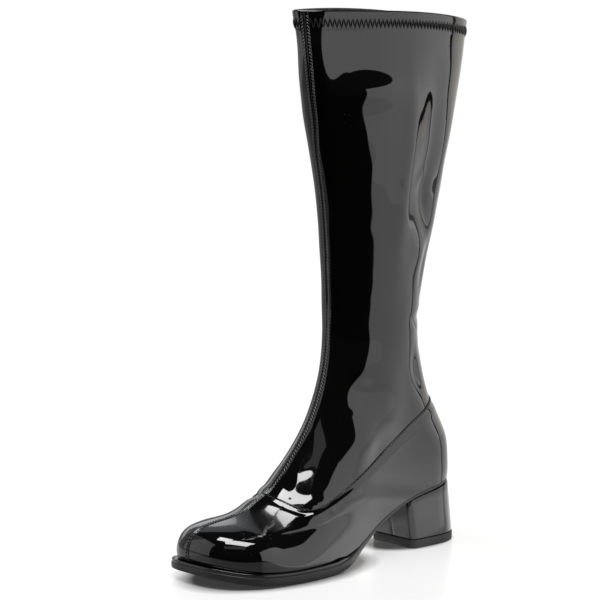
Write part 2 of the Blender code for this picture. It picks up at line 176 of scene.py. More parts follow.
# Wear creases: turn (degrees round from the front, outer side
# positive), ring, half length, half width, tilt from upright towards the back
# of the outer side (degrees), depth (below 0 a trough, above 0 a ridge), bow
CREASES = (
    # collar: the flat beside the front seam and the soft fold under it
    (37.0, 3.36, 28.0, 20.0, 0.0, -0.9, 0.0),
    (8.0, 3.30, 30.0, 12.0, 0.0, 2.5, 0.0),
    (54.0, 3.165, 28.0, 13.0, 86.0, 2.8, 0.1),
    # outer side of the leg: the long flame-shaped dent behind the middle
    (88.0, 2.81, 54.0, 8.0, 0.0, 1.1, 0.0),
    (112.0, 2.81, 55.0, 17.0, 0.0, -3.8, 0.0),
    (107.0, 2.74, 8.0, 5.0, 45.0, 0.5, 0.0),
    (119.0, 2.68, 14.0, 6.5, 4.0, 1.2, 0.2),
    (123.0, 2.50, 20.0, 10.0, -24.0, -1.7, 0.0),
    (139.0, 2.98, 75.0, 9.0, 0.0, 0.5, 0.0),
    # shin: slight waves
    (58.0, 2.45, 14.0, 9.0, 70.0, -0.30, 0.0),
    (62.0, 2.16, 16.0, 8.0, 80.0, 0.25, 0.0),
    # ankle: the hollow on the outer side and the folds behind the joint
    (66.0, 1.56, 12.0, 17.0, 0.0, -3.4, 0.0),
    (134.0, 2.28, 17.0, 5.5, 8.0, -1.00, 0.3),
    (131.0, 1.43, 13.0, 5.0, -18.0, -0.95, 0.4),
    (126.0, 1.85, 6.0, 1.3, -48.0, -0.35, 0.0),
    (150.0, 1.90, 14.0, 5.0, 78.0, -0.80, 0.2),
    # inner side of ankle and leg
    (-66.0, 1.54, 15.0, 15.0, 0.0, -2.0, 0.0),
    (-130.0, 2.22, 15.0, 5.5, -10.0, -0.85, -0.3),
    (-134.0, 1.52, 13.0, 5.0, 20.0, -0.85, -0.4),
    (-150.0, 1.78, 12.0, 4.6, -70.0, -0.75, 0.2),
    (-110.0, 2.76, 42.0, 13.0, 2.0, -2.6, 0.2),
    (-78.0, 3.15, 24.0, 11.0, -84.0, 1.4, 0.0),
    (-42.0, 3.40, 22.0, 18.0, 0.0, -1.6, 0.0),
    (-60.0, 2.35, 15.0, 9.0, -72.0, -0.30, 0.0),
    # back of the calf
    (176.0, 2.62, 26.0, 7.0, 4.0, -0.45, 0.0),
    (182.0, 2.05, 13.0, 5.0, 86.0, -0.80, 0.0),
    (180.0, 1.55, 11.0, 4.2, 88.0, -0.60, 0.0),
    # two low ridges under the outer hollow of the ankle
    (76.0, 1.28, 12.0, 11.0, 0.0, 1.4, 0.0),
    (98.0, 1.28, 13.0, 22.0, 0.0, 1.5, 0.0),
    # instep: the outer roll over the vamp's edge
    (10.0, 1.01, 14.0, 6.5, 90.0, 0.8, 0.6),
    (30.0, 1.025, 12.0, 5.5, 86.0, 1.0, 0.3),
    (44.0, 1.035, 8.0, 5.0, 80.0, 1.2, 0.2),
    # foot: the long swell on its outer side
    (104.0, 0.34, 62.0, 9.5, 90.0, 0.8, 0.0),
    # instep: the inner roll, and the dimples above both
    (-18.0, 1.055, 14.0, 5.0, 90.0, 0.8, 1.0),
    (18.5, 1.235, 4.6, 4.0, 20.0, -0.5, 0.0),
    (-20.0, 1.25, 4.0, 4.0, -20.0, -0.35, 0.0),
)

# Slow unevenness of the stretched skin: turns round, waves up per metre, phase, depth
WAVES = (
    (2.0, 9.0, 0.4, 0.20),
    (3.0, 17.0, 2.1, 0.14),
    (5.0, 13.0, 4.0, 0.10),
    (4.0, 26.0, 1.2, 0.08),
    (7.0, 33.0, 5.1, 0.045),
)
CALM_START = 0.55         # ring below which the skin is even, and how fast that ends
CALM_SPAN = 0.9
CREASE_REACH = 25.0       # how far off its own plane a crease still counts
CREASE_FACING = (0.1, 0.5)  # how much a skin must face a crease, and how fast it then shows
CREASE_SHOULDER = 0.7     # how much of a crease turns up again beside it


def column(columns, rows, name):
    """One named column of a table."""
    place = columns.index(name)
    return np.array([row[place] for row in rows], float)


def spline(xs, ys):
    """Smooth curve through table points (natural cubic)."""
    n = len(xs)
    h = np.diff(xs)
    a = np.eye(n)
    r = np.zeros(n)
    for i in range(1, n - 1):
        a[i, i - 1:i + 2] = h[i - 1], 2 * (h[i - 1] + h[i]), h[i]
        r[i] = 6 * ((ys[i + 1] - ys[i]) / h[i] - (ys[i] - ys[i - 1]) / h[i - 1])
    m = np.linalg.solve(a, r)

    def value(x):
        x = np.asarray(x, float)
        i = np.clip(np.searchsorted(xs, x) - 1, 0, n - 2)
        w = h[i]
        e = xs[i + 1] - x
        d = x - xs[i]
        bend = (m[i] * e ** 3 + m[i + 1] * d ** 3) / (6 * w)
        return bend + (ys[i] / w - m[i] * w / 6) * e + (ys[i + 1] / w - m[i + 1] * w / 6) * d

    return value


def monotone(xs, ys):
    """Smooth curve through table points that never overshoots them."""
    n = len(xs)
    h = np.diff(xs)
    d = np.diff(ys) / h
    m = np.zeros(n)
    m[0] = d[0]
    m[-1] = d[-1]
    for i in range(1, n - 1):
        if d[i - 1] * d[i] > 0:
            p = 2 * h[i] + h[i - 1]
            q = h[i] + 2 * h[i - 1]
            m[i] = (p + q) / (p / d[i - 1] + q / d[i])

    def value(x):
        x = np.clip(np.asarray(x, float), xs[0], xs[-1])
        i = np.clip(np.searchsorted(xs, x) - 1, 0, n - 2)
        w = h[i]
        t = (x - xs[i]) / w
        low = (1 + 2 * t) * (1 - t) ** 2 * ys[i] + t * (1 - t) ** 2 * w * m[i]
        return low + t * t * (3 - 2 * t) * ys[i + 1] + t * t * (t - 1) * w * m[i + 1]

    return value


def curve(columns, rows, name, kind=spline):
    """A table's named column as a smooth curve over its first column."""
    return kind(column(columns, rows, columns[0]), column(columns, rows, name))


def ease(x):
    """0 to 1 with soft ends."""
    x = np.clip(x, 0.0, 1.0)
    return x * x * x * (x * (6 * x - 15) + 10)


def bell(x, middle, spread):
    """1 at the middle, falling to 0 past its spread."""
    return np.exp(-((x - middle) / spread) ** 2)


def unit(v):
    """Vectors scaled to length 1."""
    return v / np.linalg.norm(v, axis=-1, keepdims=True)


def run(path):
    """Distance along a path at each of its points."""
    return np.concatenate([[0.0], np.cumsum(np.linalg.norm(np.diff(path, axis=0), axis=-1))])


FRONT_S, FRONT_Z, BACK_S, BACK_Z, HALF, RIDGE = (
    curve(RING_COLUMNS, RINGS, name) for name in RING_COLUMNS[1:7])
TWIST = curve(RING_COLUMNS, RINGS, "twist", monotone)
SEAM_OFF = curve(SEAM_COLUMNS, SEAM_LINE, "off")
OUTER, INNER, SWING = (curve(PLAN_COLUMNS, PLAN, name) for name in PLAN_COLUMNS[1:4])
SIDE_ROUND, CROWN_ROUND = (
    curve(PLAN_COLUMNS, PLAN, name, monotone) for name in PLAN_COLUMNS[4:])
SOLE_UNDER, SOLE_THICK, SOLE_MARGIN = (
    curve(SOLE_COLUMNS, SOLE, name, monotone) for name in SOLE_COLUMNS[1:])
CROWN_S = column(CROWN_COLUMNS, CROWN, "s")
CROWN_LOW = spline(CROWN_S, 1.0 / column(CROWN_COLUMNS, CROWN, "height"))
CENTRE = (FRONT_S(0.0) + SOLE_MARGIN(TOE_TIP) + BACK_S(COLLAR_RING) - SOLID_HEM) / 2


def sole_top(s):
    """Height of the outsole's upper face."""
    return SOLE_UNDER(s) + SOLE_THICK(s)


def feather(s):
    """Height of the upper's lower edge."""
    return sole_top(s) + GAP


def sole_off(along):
    """Height of the sole line off the straight line from heel to toe."""
    s = BACK_S(0.0) + along * (FRONT_S(0.0) - BACK_S(0.0))
    low = feather(BACK_S(0.0))
    high = feather(FRONT_S(0.0))
    return feather(s) - (low + along * (high - low))


def crowd(s, z):
    """How near a point of a cross section is to the ridge line (1 on it)."""
    low = np.maximum(CROWN_LOW(np.clip(s, CROWN_S[0], CROWN_S[-1])), 0.0)
    height = np.clip((z - feather(s)) * low, 0.0, None)
    toe = np.clip((s - TOE_START) / (TOE_TIP - TOE_START), 0.0, None)
    return toe ** TOE_ROUND + height ** CROWN_ROUND(s)


def form(turn, ring):
    """Points of the boot's form at turns round it (0 front seam, pi back) and rings up it."""
    turn = turn + np.radians(TWIST(ring))
    along = (1 + np.cos(turn)) / 2
    side = np.sign(np.round(np.sin(turn), 9))
    s = BACK_S(ring) + along * (FRONT_S(ring) - BACK_S(ring))
    z = BACK_Z(ring) + along * (FRONT_Z(ring) - BACK_Z(ring))
    low = np.clip(ring, 0.0, 1.0)
    fade = 1 - ease((ring - SEAM_RING) / (ANKLE_RING - SEAM_RING))
    z = z + ((1 - low) * sole_off(along) + low * SEAM_OFF(along)) * fade
    worn = ease((ring - ANKLE_RING) / (COLLAR_RING - ANKLE_RING))
    fall = (FRONT_Z(ring) - BACK_Z(ring)) * worn
    z = z + fall * ((1 - along) - (1 - along) ** RIM_FALL)
    z = z + RIM_INNER_RISE * worn * np.where(side < 0, np.sin(turn) ** 2, 0.0)
    near = crowd(s, z) / np.maximum(crowd(FRONT_S(ring), FRONT_Z(ring)), LEAST_CROWD)
    arch = np.clip(1 - near, 0.0, 1.0) ** (1 / SIDE_ROUND(s))
    heel = np.clip((s - BACK_S(ring)) / HEEL_CURVE, 0.0, 1.0)
    arch = arch * (1 - (1 - heel) ** HEEL_ROUND) ** (1 / HEEL_ROUND)
    width = np.where(side > 0, OUTER(s) - SWING(s), INNER(s) + SWING(s))
    leg = HALF(ring) * np.abs(np.sin(turn)) * (1 - RIDGE(ring) * along ** 2)
    q = fade * width * arch + (1 - fade) * leg
    return np.stack([s, fade * SWING(s) + side * q, z], axis=-1)


def slopes(turn, ring):
    """Change of the form per radian round it and per ring up it."""
    du = 0.02
    dv = 0.004
    return ((form(turn + du, ring) - form(turn - du, ring)) / (2 * du),
            (form(turn, ring + dv) - form(turn, ring - dv)) / (2 * dv))


def outward(turn, ring):
    """Unit vectors square to the form."""
    return unit(np.cross(*slopes(turn, ring)))


def wear(turn, ring, points, normals, depth):
    """How far creases and unevenness lift the skin, in millimetres."""
    lift = np.zeros(points.shape[:-1])
    calm = ease((ring - CALM_START) / CALM_SPAN)
    for around, waves, phase, deep in WAVES:
        rise = np.sin(waves * 2 * math.pi * points[..., 2] * MM + phase * 2)
        lift += deep * calm * np.sin(around * turn + phase) * rise
    for degrees, level, long, wide, tilt, deep, bow in CREASES:
        t = np.array([math.radians(degrees)])
        r = np.array([level])
        middle = form(t, r)[0]
        round_way, up_way = slopes(t, r)
        square = unit(np.cross(round_way, up_way))[0]
        up_way = unit(up_way)[0]
        round_way = np.cross(up_way, square)
        lean = math.radians(tilt)
        away = points - middle
        u = away @ (math.cos(lean) * up_way + math.sin(lean) * round_way) / long
        v = away @ (math.cos(lean) * round_way - math.sin(lean) * up_way) / wide - bow * u * u
        same = ease((normals @ square - CREASE_FACING[0]) / CREASE_FACING[1])
        same = same * bell(away @ square, 0.0, CREASE_REACH)
        lift += deep * same * np.exp(-u * u) * (1 - CREASE_SHOULDER * v * v) * np.exp(-v * v)
    return lift * depth


def skin(turn, ring, lift, depth):
    """Points of the worn skin, lifted off the form."""
    turn, ring, lift = np.broadcast_arrays(turn, ring, lift)
    points = form(turn, ring)
    normals = outward(turn, ring)
    return points + normals * (lift + wear(turn, ring, points, normals, depth))[..., None]


def to_frame(points):
    """Points in s, q, z millimetres as places in the frame, in metres."""
    points = np.asarray(points, float)
    s, q, z = (points[..., k] for k in range(3))
    return np.stack([q - MIDDLE_Q, CENTRE - s, z], axis=-1) * MM


# ---------------------------------------------------------------- meshes
def belt_faces(rows, columns, looped=False):
    """Quads of a grid that closes round its columns, and over its rows if looped."""
    i = np.arange(rows if looped else rows - 1)[:, None]
    j = np.arange(columns)[None, :]
    k = (j + 1) % columns
    up = (i + 1) % rows
    corners = [i * columns + j, i * columns + k, up * columns + k, up * columns + j]
    return np.stack(corners, axis=-1).reshape(-1, 4)


def cross_faces(start, columns, up):
    """Faces that close a row of points from its outer to its inner side."""
    faces = []
    for j in range(columns // 2):
        ring = [start + p % columns for p in (j, j + 1, columns - j - 1, columns - j)]
        face = list(dict.fromkeys(ring))
        faces.append(face if up else face[::-1])
    return faces


def stack_faces(rows, count):
    """Faces of a full solid from its underside to its top."""
    sides = [list(f) for f in belt_faces(rows, count)]
    return cross_faces(0, count, False) + sides + cross_faces((rows - 1) * count, count, True)


def add_piece(name, points, faces, materials, sharp, which=None, uv=None):
    """A smooth mesh piece at the origin, its place in its mesh; sharp is an angle in degrees."""
    mesh = bpy.data.meshes.new(name)
    places = to_frame(points).reshape(-1, 3).tolist()
    mesh.from_pydata(places, [], [list(map(int, f)) for f in faces])
    for material in materials:
        mesh.materials.append(material)
    if which is not None:
        mesh.polygons.foreach_set("material_index", np.asarray(which, np.int32))
    mesh.shade_smooth()
    mesh.set_sharp_from_angle(angle=math.radians(sharp))
    if uv is not None:
        corner = np.zeros(len(mesh.loops), np.int32)
        mesh.loops.foreach_get("vertex_index", corner)
        layer = mesh.uv_layers.new(name="surface")
        layer.data.foreach_set("uv", np.asarray(uv, float).reshape(-1, 2)[corner].ravel())
    mesh.update()
    thing = bpy.data.objects.new(name, mesh)
    bpy.context.scene.collection.objects.link(thing)
    return thing


def settle(thing, slot, *nodes):
    """Rides the piece on the boot's body and hides the solids it stands for; slot is not used."""
    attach(thing, BODY)
    if nodes:
        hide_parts(*nodes)
    return thing


# ---------------------------------------------------------------- node trees
def node(tree, kind, **values):
    """A node with its options and inputs set; inputs are named by socket."""
    made = tree.nodes.new(kind)
    for name, value in values.items():
        if hasattr(made, name):
            setattr(made, name, value)
        else:
            made.inputs[name.replace("_", " ")].default_value = value
    return made


def feed(tree, value, socket):
    """Sets a socket to a fixed value, or links another socket to it."""
    if isinstance(value, (int, float, tuple)):
        socket.default_value = value
    else:
        tree.links.new(value, socket)


def maths(tree, operation, a, b):
    """A Math node fed by sockets or numbers; returns its output."""
    made = node(tree, "ShaderNodeMath", operation=operation)
    feed(tree, a, made.inputs[0])
    feed(tree, b, made.inputs[1])
    return made.outputs[0]


def add(tree, a, b):
    """Sum of two sockets or numbers."""
    return maths(tree, "ADD", a, b)


def times(tree, a, b):
    """Product of two sockets or numbers."""
    return maths(tree, "MULTIPLY", a, b)


def vector_maths(tree, operation, a, b=None):
    """A Vector Math node; returns its vector, or the value of a length or dot product."""
    made = node(tree, "ShaderNodeVectorMath", operation=operation)
    feed(tree, a, made.inputs[0])
    if b is not None:
        feed(tree, b, made.inputs[1])
    return made.outputs["Value" if operation in {"LENGTH", "DOT_PRODUCT"} else "Vector"]


def ranged(tree, value, low, high, to_low=0.0, to_high=1.0):
    """A value mapped from one range to another, clamped."""
    made = node(tree, "ShaderNodeMapRange",
                From_Min=low, From_Max=high, To_Min=to_low, To_Max=to_high)
    tree.links.new(value, made.inputs["Value"])
    return made.outputs[0]


def noise(tree, vector, scale, detail=2.0, rough=0.5):
    """Noise value on a vector socket."""
    made = node(tree, "ShaderNodeTexNoise", Detail=detail, Roughness=rough)
    tree.links.new(vector, made.inputs["Vector"])
    feed(tree, scale, made.inputs["Scale"])
    return made.outputs["Fac"]


def stretched(tree, vector, scale):
    """A vector socket scaled along each axis."""
    made = node(tree, "ShaderNodeMapping", Scale=scale)
    tree.links.new(vector, made.inputs["Vector"])
    return made.outputs[0]


def blend(tree, share, low, high):
    """Colour that goes from low to high with a share."""
    made = node(tree, "ShaderNodeMix", data_type="RGBA")
    for place, value in ((0, share), (6, low), (7, high)):
        feed(tree, value, made.inputs[place])
    return made.outputs[2]


def shared_tree(name, kind, build):
    """A node tree that is built once and found by its name after that."""
    if name not in bpy.data.node_groups:
        build(bpy.data.node_groups.new(name, kind))
    return bpy.data.node_groups[name]


SOCKET_KINDS = {1: "NodeSocketFloat", 3: "NodeSocketVector", 4: "NodeSocketColor"}


def sockets(tree, inputs, outputs):
    """Gives a shader group its inputs with their defaults, and its outputs."""
    for name, default in inputs.items():
        kind = SOCKET_KINDS[np.size(default)]
        made = tree.interface.new_socket(name=name, in_out="INPUT", socket_type=kind)
        made.default_value = default
    for name in outputs:
        kind = "NodeSocketColor" if name == "Colour" else "NodeSocketFloat"
        tree.interface.new_socket(name=name, in_out="OUTPUT", socket_type=kind)
    return tree.nodes.new("NodeGroupInput").outputs, tree.nodes.new("NodeGroupOutput").inputs


# ---------------------------------------------------------------- finishes
DUST_GREY = (0.16, 0.16, 0.165, 1.0)
SCUFF_GREY = (0.09, 0.088, 0.085, 1.0)


def handled_film(tree):
    """Group: the poured gloss film, with its faint peel, smudges, dust and flexed, duller skin."""
    given, result = sockets(
        tree,
        {"Vector": (0.0, 0.0, 0.0), "Peel Scale": 700.0, "Gloss": 0.06, "Smudge": 0.12,
         "Dust": 0.5, "Flex": 0.0, "Coat": 1.0, "Colour": (0.004, 0.004, 0.0045, 1.0)},
        ("Colour", "Roughness", "Height", "Coat"))
    vector = given["Vector"]
    peel = noise(tree, vector, given["Peel Scale"], 1.5)
    slow = noise(tree, vector, 60.0, 3.0)
    feed(tree, add(tree, times(tree, peel, 0.7), times(tree, slow, 0.6)), result["Height"])
    smear = noise(tree, stretched(tree, vector, (1.0, 1.0, 0.35)), 42.0, 4.0, 0.62)
    rubbed = ranged(tree, smear, 0.48, 0.8)
    rough = add(tree, given["Gloss"], times(tree, rubbed, given["Smudge"]))
    rough = add(tree, rough, times(tree, given["Flex"], 0.19))
    dulled = ranged(tree, given["Flex"], 0.0, 1.0, 1.0, 0.25)
    feed(tree, times(tree, given["Coat"], dulled), result["Coat"])
    cells = node(tree, "ShaderNodeTexVoronoi", feature="F1", Scale=260.0, Randomness=1.0)
    tree.links.new(vector, cells.inputs["Vector"])
    picked = ranged(tree, noise(tree, vector, 31.0, 1.0), 0.60, 0.66)
    speck = times(tree, ranged(tree, cells.outputs["Distance"], 0.05, 0.09, 1.0, 0.0), picked)
    speck = times(tree, speck, given["Dust"])
    feed(tree, blend(tree, speck, given["Colour"], DUST_GREY), result["Colour"])
    feed(tree, add(tree, rough, times(tree, speck, 0.4)), result["Roughness"])


def moulded_grain(tree):
    """Group: fine grain of moulded rubber with paler scuffs on it."""
    given, result = sockets(
        tree,
        {"Vector": (0.0, 0.0, 0.0), "Grain Scale": 1500.0, "Satin": 0.4, "Scuff": 0.15,
         "Colour": (0.012, 0.012, 0.013, 1.0)},
        ("Colour", "Roughness", "Height"))
    vector = given["Vector"]
    grain = noise(tree, vector, given["Grain Scale"], 2.0, 0.6)
    layers = stretched(tree, vector, (0.25, 0.25, 3.0))
    trimmed = noise(tree, layers, 420.0, 2.0)
    scuffs = ranged(tree, noise(tree, layers, 150.0, 5.0, 0.66), 0.55, 0.78)
    scuffs = times(tree, scuffs, given["Scuff"])
    feed(tree, blend(tree, scuffs, given["Colour"], SCUFF_GREY), result["Colour"])
    rough = add(tree, given["Satin"], times(tree, scuffs, 0.5))
    uneven = ranged(tree, grain, 0.3, 0.7, -0.05, 0.05)
    feed(tree, add(tree, rough, uneven), result["Roughness"])
    feed(tree, add(tree, grain, times(tree, trimmed, 0.6)), result["Height"])


def knit_loops(tree):
    """Group: rows of small knitted loops on a surface map in metres."""
    given, result = sockets(
        tree,
        {"Vector": (0.0, 0.0, 0.0), "Gauge": 1100.0, "Colour": (0.02, 0.02, 0.022, 1.0),
         "Hollow": (0.006, 0.006, 0.007, 1.0)},
        ("Colour", "Roughness", "Height"))
    scaled = node(tree, "ShaderNodeVectorMath", operation="SCALE")
    tree.links.new(given["Vector"], scaled.inputs[0])
    tree.links.new(given["Gauge"], scaled.inputs["Scale"])
    split = node(tree, "ShaderNodeSeparateXYZ")
    tree.links.new(scaled.outputs[0], split.inputs[0])
    wale = maths(tree, "PINGPONG", split.outputs[0], 0.5)
    leaned = add(tree, split.outputs[1], times(tree, wale, 1.1))
    course = maths(tree, "PINGPONG", leaned, 0.5)
    loops = times(tree, ranged(tree, course, 0.0, 0.5), ranged(tree, wale, 0.02, 0.3))
    fuzz = noise(tree, scaled.outputs[0], 2.3, 3.0)
    feed(tree, blend(tree, loops, given["Hollow"], given["Colour"]), result["Colour"])
    feed(tree, ranged(tree, fuzz, 0.3, 0.7, 0.75, 0.95), result["Roughness"])
    feed(tree, add(tree, loops, times(tree, fuzz, 0.35)), result["Height"])


# Finishes by name: group, colour setting, strength and depth in metres of the
# bump, values for the group, and fixed numbers for the shader's own sockets
FINISHES = {
    # mirror-bright black film of the skins, and the same stretched over the heel
    "black_patent": (
        handled_film, "patent", (0.35, 0.00002),
        {"Peel Scale": 620.0, "Gloss": 0.05, "Smudge": 0.10, "Dust": 0.6},
        {"Coat Roughness": 0.02, "Coat IOR": 1.5, "IOR": 1.45}),
    "heel_patent": (
        handled_film, "patent", (0.35, 0.00002),
        {"Peel Scale": 520.0, "Gloss": 0.10, "Smudge": 0.16, "Dust": 0.5},
        {"Coat Roughness": 0.05, "Coat IOR": 1.5, "IOR": 1.45}),
    # moulded glossy lip of the welt
    "welt_gloss": (
        handled_film, "welt", (0.4, 0.00004),
        {"Peel Scale": 900.0, "Gloss": 0.16, "Smudge": 0.2, "Dust": 0.5, "Coat": 0.6},
        {"Coat Roughness": 0.08, "IOR": 1.5}),
    # satin edge and dull brown underside of the outsole, matt rubber under the heel
    "outsole_satin": (
        moulded_grain, "outsole", (0.35, 0.00006),
        {"Grain Scale": 1300.0, "Satin": 0.34, "Scuff": 0.22}, {"IOR": 1.5}),
    "tread_rubber": (
        moulded_grain, "tread", (0.8, 0.00025),
        {"Grain Scale": 520.0, "Satin": 0.62, "Scuff": 0.35}, {"IOR": 1.5}),
    "lift_rubber": (
        moulded_grain, "lift", (0.6, 0.00012),
        {"Grain Scale": 900.0, "Satin": 0.58, "Scuff": 0.3}, {"IOR": 1.5}),
    # black knit on the inside of the skins, brown cloth of the insole's sock
    "lining_knit": (
        knit_loops, "lining", (0.7, 0.0003), {"Gauge": 1000.0},
        {"Sheen Weight": 0.25, "Sheen Roughness": 0.5, "IOR": 1.4}),
    "sock_cloth": (
        knit_loops, "insole", (0.6, 0.0003),
        {"Gauge": 800.0, "Hollow": (0.05, 0.035, 0.026, 1.0)},
        {"Sheen Weight": 0.2, "Sheen Roughness": 0.5, "IOR": 1.4}),
    # polyester threads with a soft shine; the cover thread's pale grey is a painted highlight
    # standing in for the shine of black thread
    "sewing_thread": (
        moulded_grain, "thread", (0.5, 0.00008),
        {"Grain Scale": 3200.0, "Satin": 0.34, "Scuff": 0.35}, {"IOR": 1.5}),
    "cover_thread_painted_sheen": (
        moulded_grain, "cover_thread_painted_sheen", (0.5, 0.00008),
        {"Grain Scale": 3200.0, "Satin": 0.34, "Scuff": 0.35}, {"IOR": 1.5}),
}


def finish(name, colours):
    """The named finish as a material; knits lie on the piece's own map."""
    if name in bpy.data.materials:
        return bpy.data.materials[name]
    build, tint, bump, values, fixed = FINISHES[name]
    colour = (*getattr(colours, tint), 1.0)
    material = bpy.data.materials.new(name)
    material.use_nodes = True
    material.diffuse_color = colour
    tree = material.node_tree
    shader = tree.nodes["Principled BSDF"]
    group = shared_tree(build.__name__, "ShaderNodeTree", build)
    effect = node(tree, "ShaderNodeGroup", node_tree=group)
    if build is knit_loops:
        place = node(tree, "ShaderNodeUVMap", uv_map="surface").outputs["UV"]
    else:
        place = node(tree, "ShaderNodeTexCoord").outputs["Object"]
    tree.links.new(place, effect.inputs["Vector"])
    for key, value in {"Colour": colour, **values}.items():
        effect.inputs[key].default_value = value
    raised = node(tree, "ShaderNodeBump", Strength=bump[0], Distance=bump[1])
    tree.links.new(effect.outputs["Height"], raised.inputs["Height"])
    tree.links.new(raised.outputs[0], shader.inputs["Normal"])
    tree.links.new(effect.outputs["Colour"], shader.inputs["Base Color"])
    tree.links.new(effect.outputs["Roughness"], shader.inputs["Roughness"])
    if build is handled_film:
        flexed = node(tree, "ShaderNodeAttribute", attribute_name="flex")
        tree.links.new(flexed.outputs["Fac"], effect.inputs["Flex"])
        tree.links.new(effect.outputs["Coat"], shader.inputs["Coat Weight"])
    for key, value in fixed.items():
        shader.inputs[key].default_value = value
    return material


# ---------------------------------------------------------------- settings
def length(name, description, default):
    """A length setting, in metres."""
    return FloatProperty(name=name, description=description, default=default, unit="LENGTH")


def angle(name, description, degrees):
    """An angle setting."""
    return FloatProperty(name=name, description=description, default=math.radians(degrees),
                         subtype="ANGLE")


def tone(name, description, default):
    """A colour setting."""
    return FloatVectorProperty(name=name, description=description, default=default,
                               subtype="COLOR")


class BootSizes(bpy.types.PropertyGroup):
    """Sizes a maker would change without touching the form."""
    round_columns: IntProperty(
        name="Columns", description="Mesh columns round the leg and foot", default=300, min=60)
    crease_depth: FloatProperty(
        name="Crease depth", description="How strongly the wear creases show", default=1.0,
        min=0.0, subtype="FACTOR")
    band_width: length("Seam band", "Width of the raised front seam", 0.0050)
    band_raise: length("Seam raise", "How far the front seam stands out", 0.00055)
    toe_band_width: length("Toe seam", "Width of the seam along the toe", 0.0034)
    toe_band_raise: length("Toe seam raise", "How far the toe seam stands out", 0.00035)
    hem_height: length("Hem", "Height of the folded hem at the collar", 0.0120)
    hem_raise: length("Hem raise", "How far the folded hem stands out", 0.00030)
    stitch_pitch: length("Stitch pitch", "Distance from stitch to stitch", 0.0020)
    vamp_pitch: length(
        "Vamp stitch pitch", "Distance from stitch to stitch along the vamp's edge", 0.0025)
    cover_pitch: length(
        "Cover stitch pitch", "Distance from stitch to stitch over the front seam", 0.0021)
    thread: length("Thread", "Thickness of the sewing thread", 0.00055)
    zigzag_pitch: length("Zigzag pitch", "Length of one zigzag along the hem", 0.0032)
    zigzag_height: length("Zigzag height", "Height of the zigzag on the hem", 0.0062)


class BootColours(bpy.types.PropertyGroup):
    """Colours of the boot's finishes."""
    patent: tone("Patent", "Colour under the gloss film", (0.0028, 0.0028, 0.0027))
    welt: tone("Welt", "Colour of the welt's lip", (0.007, 0.007, 0.008))
    outsole: tone("Outsole", "Colour of the outsole's edge", (0.026, 0.026, 0.026))
    tread: tone("Tread", "Colour of the outsole's underside", (0.075, 0.045, 0.030))
    lift: tone("Top piece", "Colour of the heel's rubber top piece", (0.032, 0.032, 0.031))
    lining: tone("Lining", "Colour of the knit lining", (0.022, 0.022, 0.024))
    insole: tone("Insole", "Colour of the insole's sock", (0.16, 0.12, 0.09))
    thread: tone("Thread", "Colour of the sewing thread", (0.006, 0.006, 0.006))
    # pale grey on black glossy thread: a painted highlight on the front seam's stitches
    cover_thread_painted_sheen: tone(
        "Cover thread", "Colour of the thread over the front seam", (0.15, 0.15, 0.147))


class BootStage(bpy.types.PropertyGroup):
    """Camera, floor and studio panels."""
    camera_place: FloatVectorProperty(
        name="Camera", description="Where the camera stands",
        default=(1.13185, -1.03019, 0.3642), subtype="XYZ", unit="LENGTH")
    camera_turn: angle("Camera turn", "Way the camera faces, seen from above", 138.51)
    camera_pitch: angle("Camera pitch", "How far the camera looks down", 7.155)
    lens: FloatProperty(
        name="Lens", description="Focal length in millimetres on a 36 mm sensor", default=141.0)
    floor: tone("Floor", "Colour of the floor", (0.30, 0.30, 0.30))
    lit_from: FloatVectorProperty(
        name="Lit from", description="Turns from the camera where the right, left and back parts "
        "of the floor grow bright, in degrees", default=(43.0, -68.0, 118.0), size=3)
    side_glow: FloatVectorProperty(
        name="Side glow", description="Brightness of the floor out to the right, left and back",
        default=(0.86, 0.20, 0.62), size=3)
    floor_reach: length("Floor reach", "Half the side of the floor", 3.0)
    floor_glow: FloatProperty(
        name="Floor glow", description="Brightness added to the floor as the camera sees it",
        default=1.05, min=0.0)
    panel_power: FloatProperty(
        name="Panel brightness", description="Brightness of the studio panels", default=1.0,
        min=0.0)


# ---------------------------------------------------------------- skins
MAP_ROUND = 0.24          # width of a skin's map once round it, in metres
SKIN_SHARP = 60.0

# Upper's top edge: where its wall thins, what is left of it, its rounding, the
# row of stitches below it and the depth and spread of the dent that the row pulls
EDGE_TAPER = 9.0
EDGE_WALL = 0.25
EDGE_ROUND = 0.22
EDGE_STITCH = 0.9
STITCH_DENT = (0.10, 0.45)
EDGE_RING = 0.97          # ring where the distance per ring is measured
EDGE_START = 0.93         # ring from which the rows crowd together
EDGE_SPAN = 0.068
EDGE_DROP = 0.001
# Flexed, duller skin over the ball: ring and its spread, turn and its spread in degrees
BALL_FLEX = (0.70, 0.13, 16.0, 14.0)

RIM_ROUND = 1.1           # radius of the roll over the collar's rim
RIM_FILM = 4              # rows of that roll that still show the film
RING_HEIGHT = 132.0       # millimetres per ring near the collar
HEM_ROWS = (2.2, 2.0)     # where the leg's rows end and the hem's begin, below the hem
HEM_FADE = (1.6, 3.4)     # start and length of the step below the hem
HEM_ROLL = (0.12, 2.4)    # height and spread of the roll at the rim
HEM_INSIDE = (2.0, 12.0)  # the hem's inner face, from the rim down


def turns(sizes):
    """Turns of the mesh columns round the boot."""
    return np.arange(sizes.round_columns) * (2 * math.pi / sizes.round_columns)


def add_skin(name, turn, points, outer, colours):
    """A closed wall: gloss film up to the row numbered outer, knit lining from there."""
    rows, count = points.shape[:2]
    which = np.repeat(np.arange(rows) >= outer, count)
    round_by = np.broadcast_to(turn / (2 * math.pi) * MAP_ROUND, points.shape[:-1])
    uv = np.stack([round_by, points[..., 2] * MM], axis=-1)
    materials = finish("black_patent", colours), finish("lining_knit", colours)
    faces = belt_faces(rows, count, looped=True)
    return add_piece(name, points, faces, materials, SKIN_SHARP, which, uv)


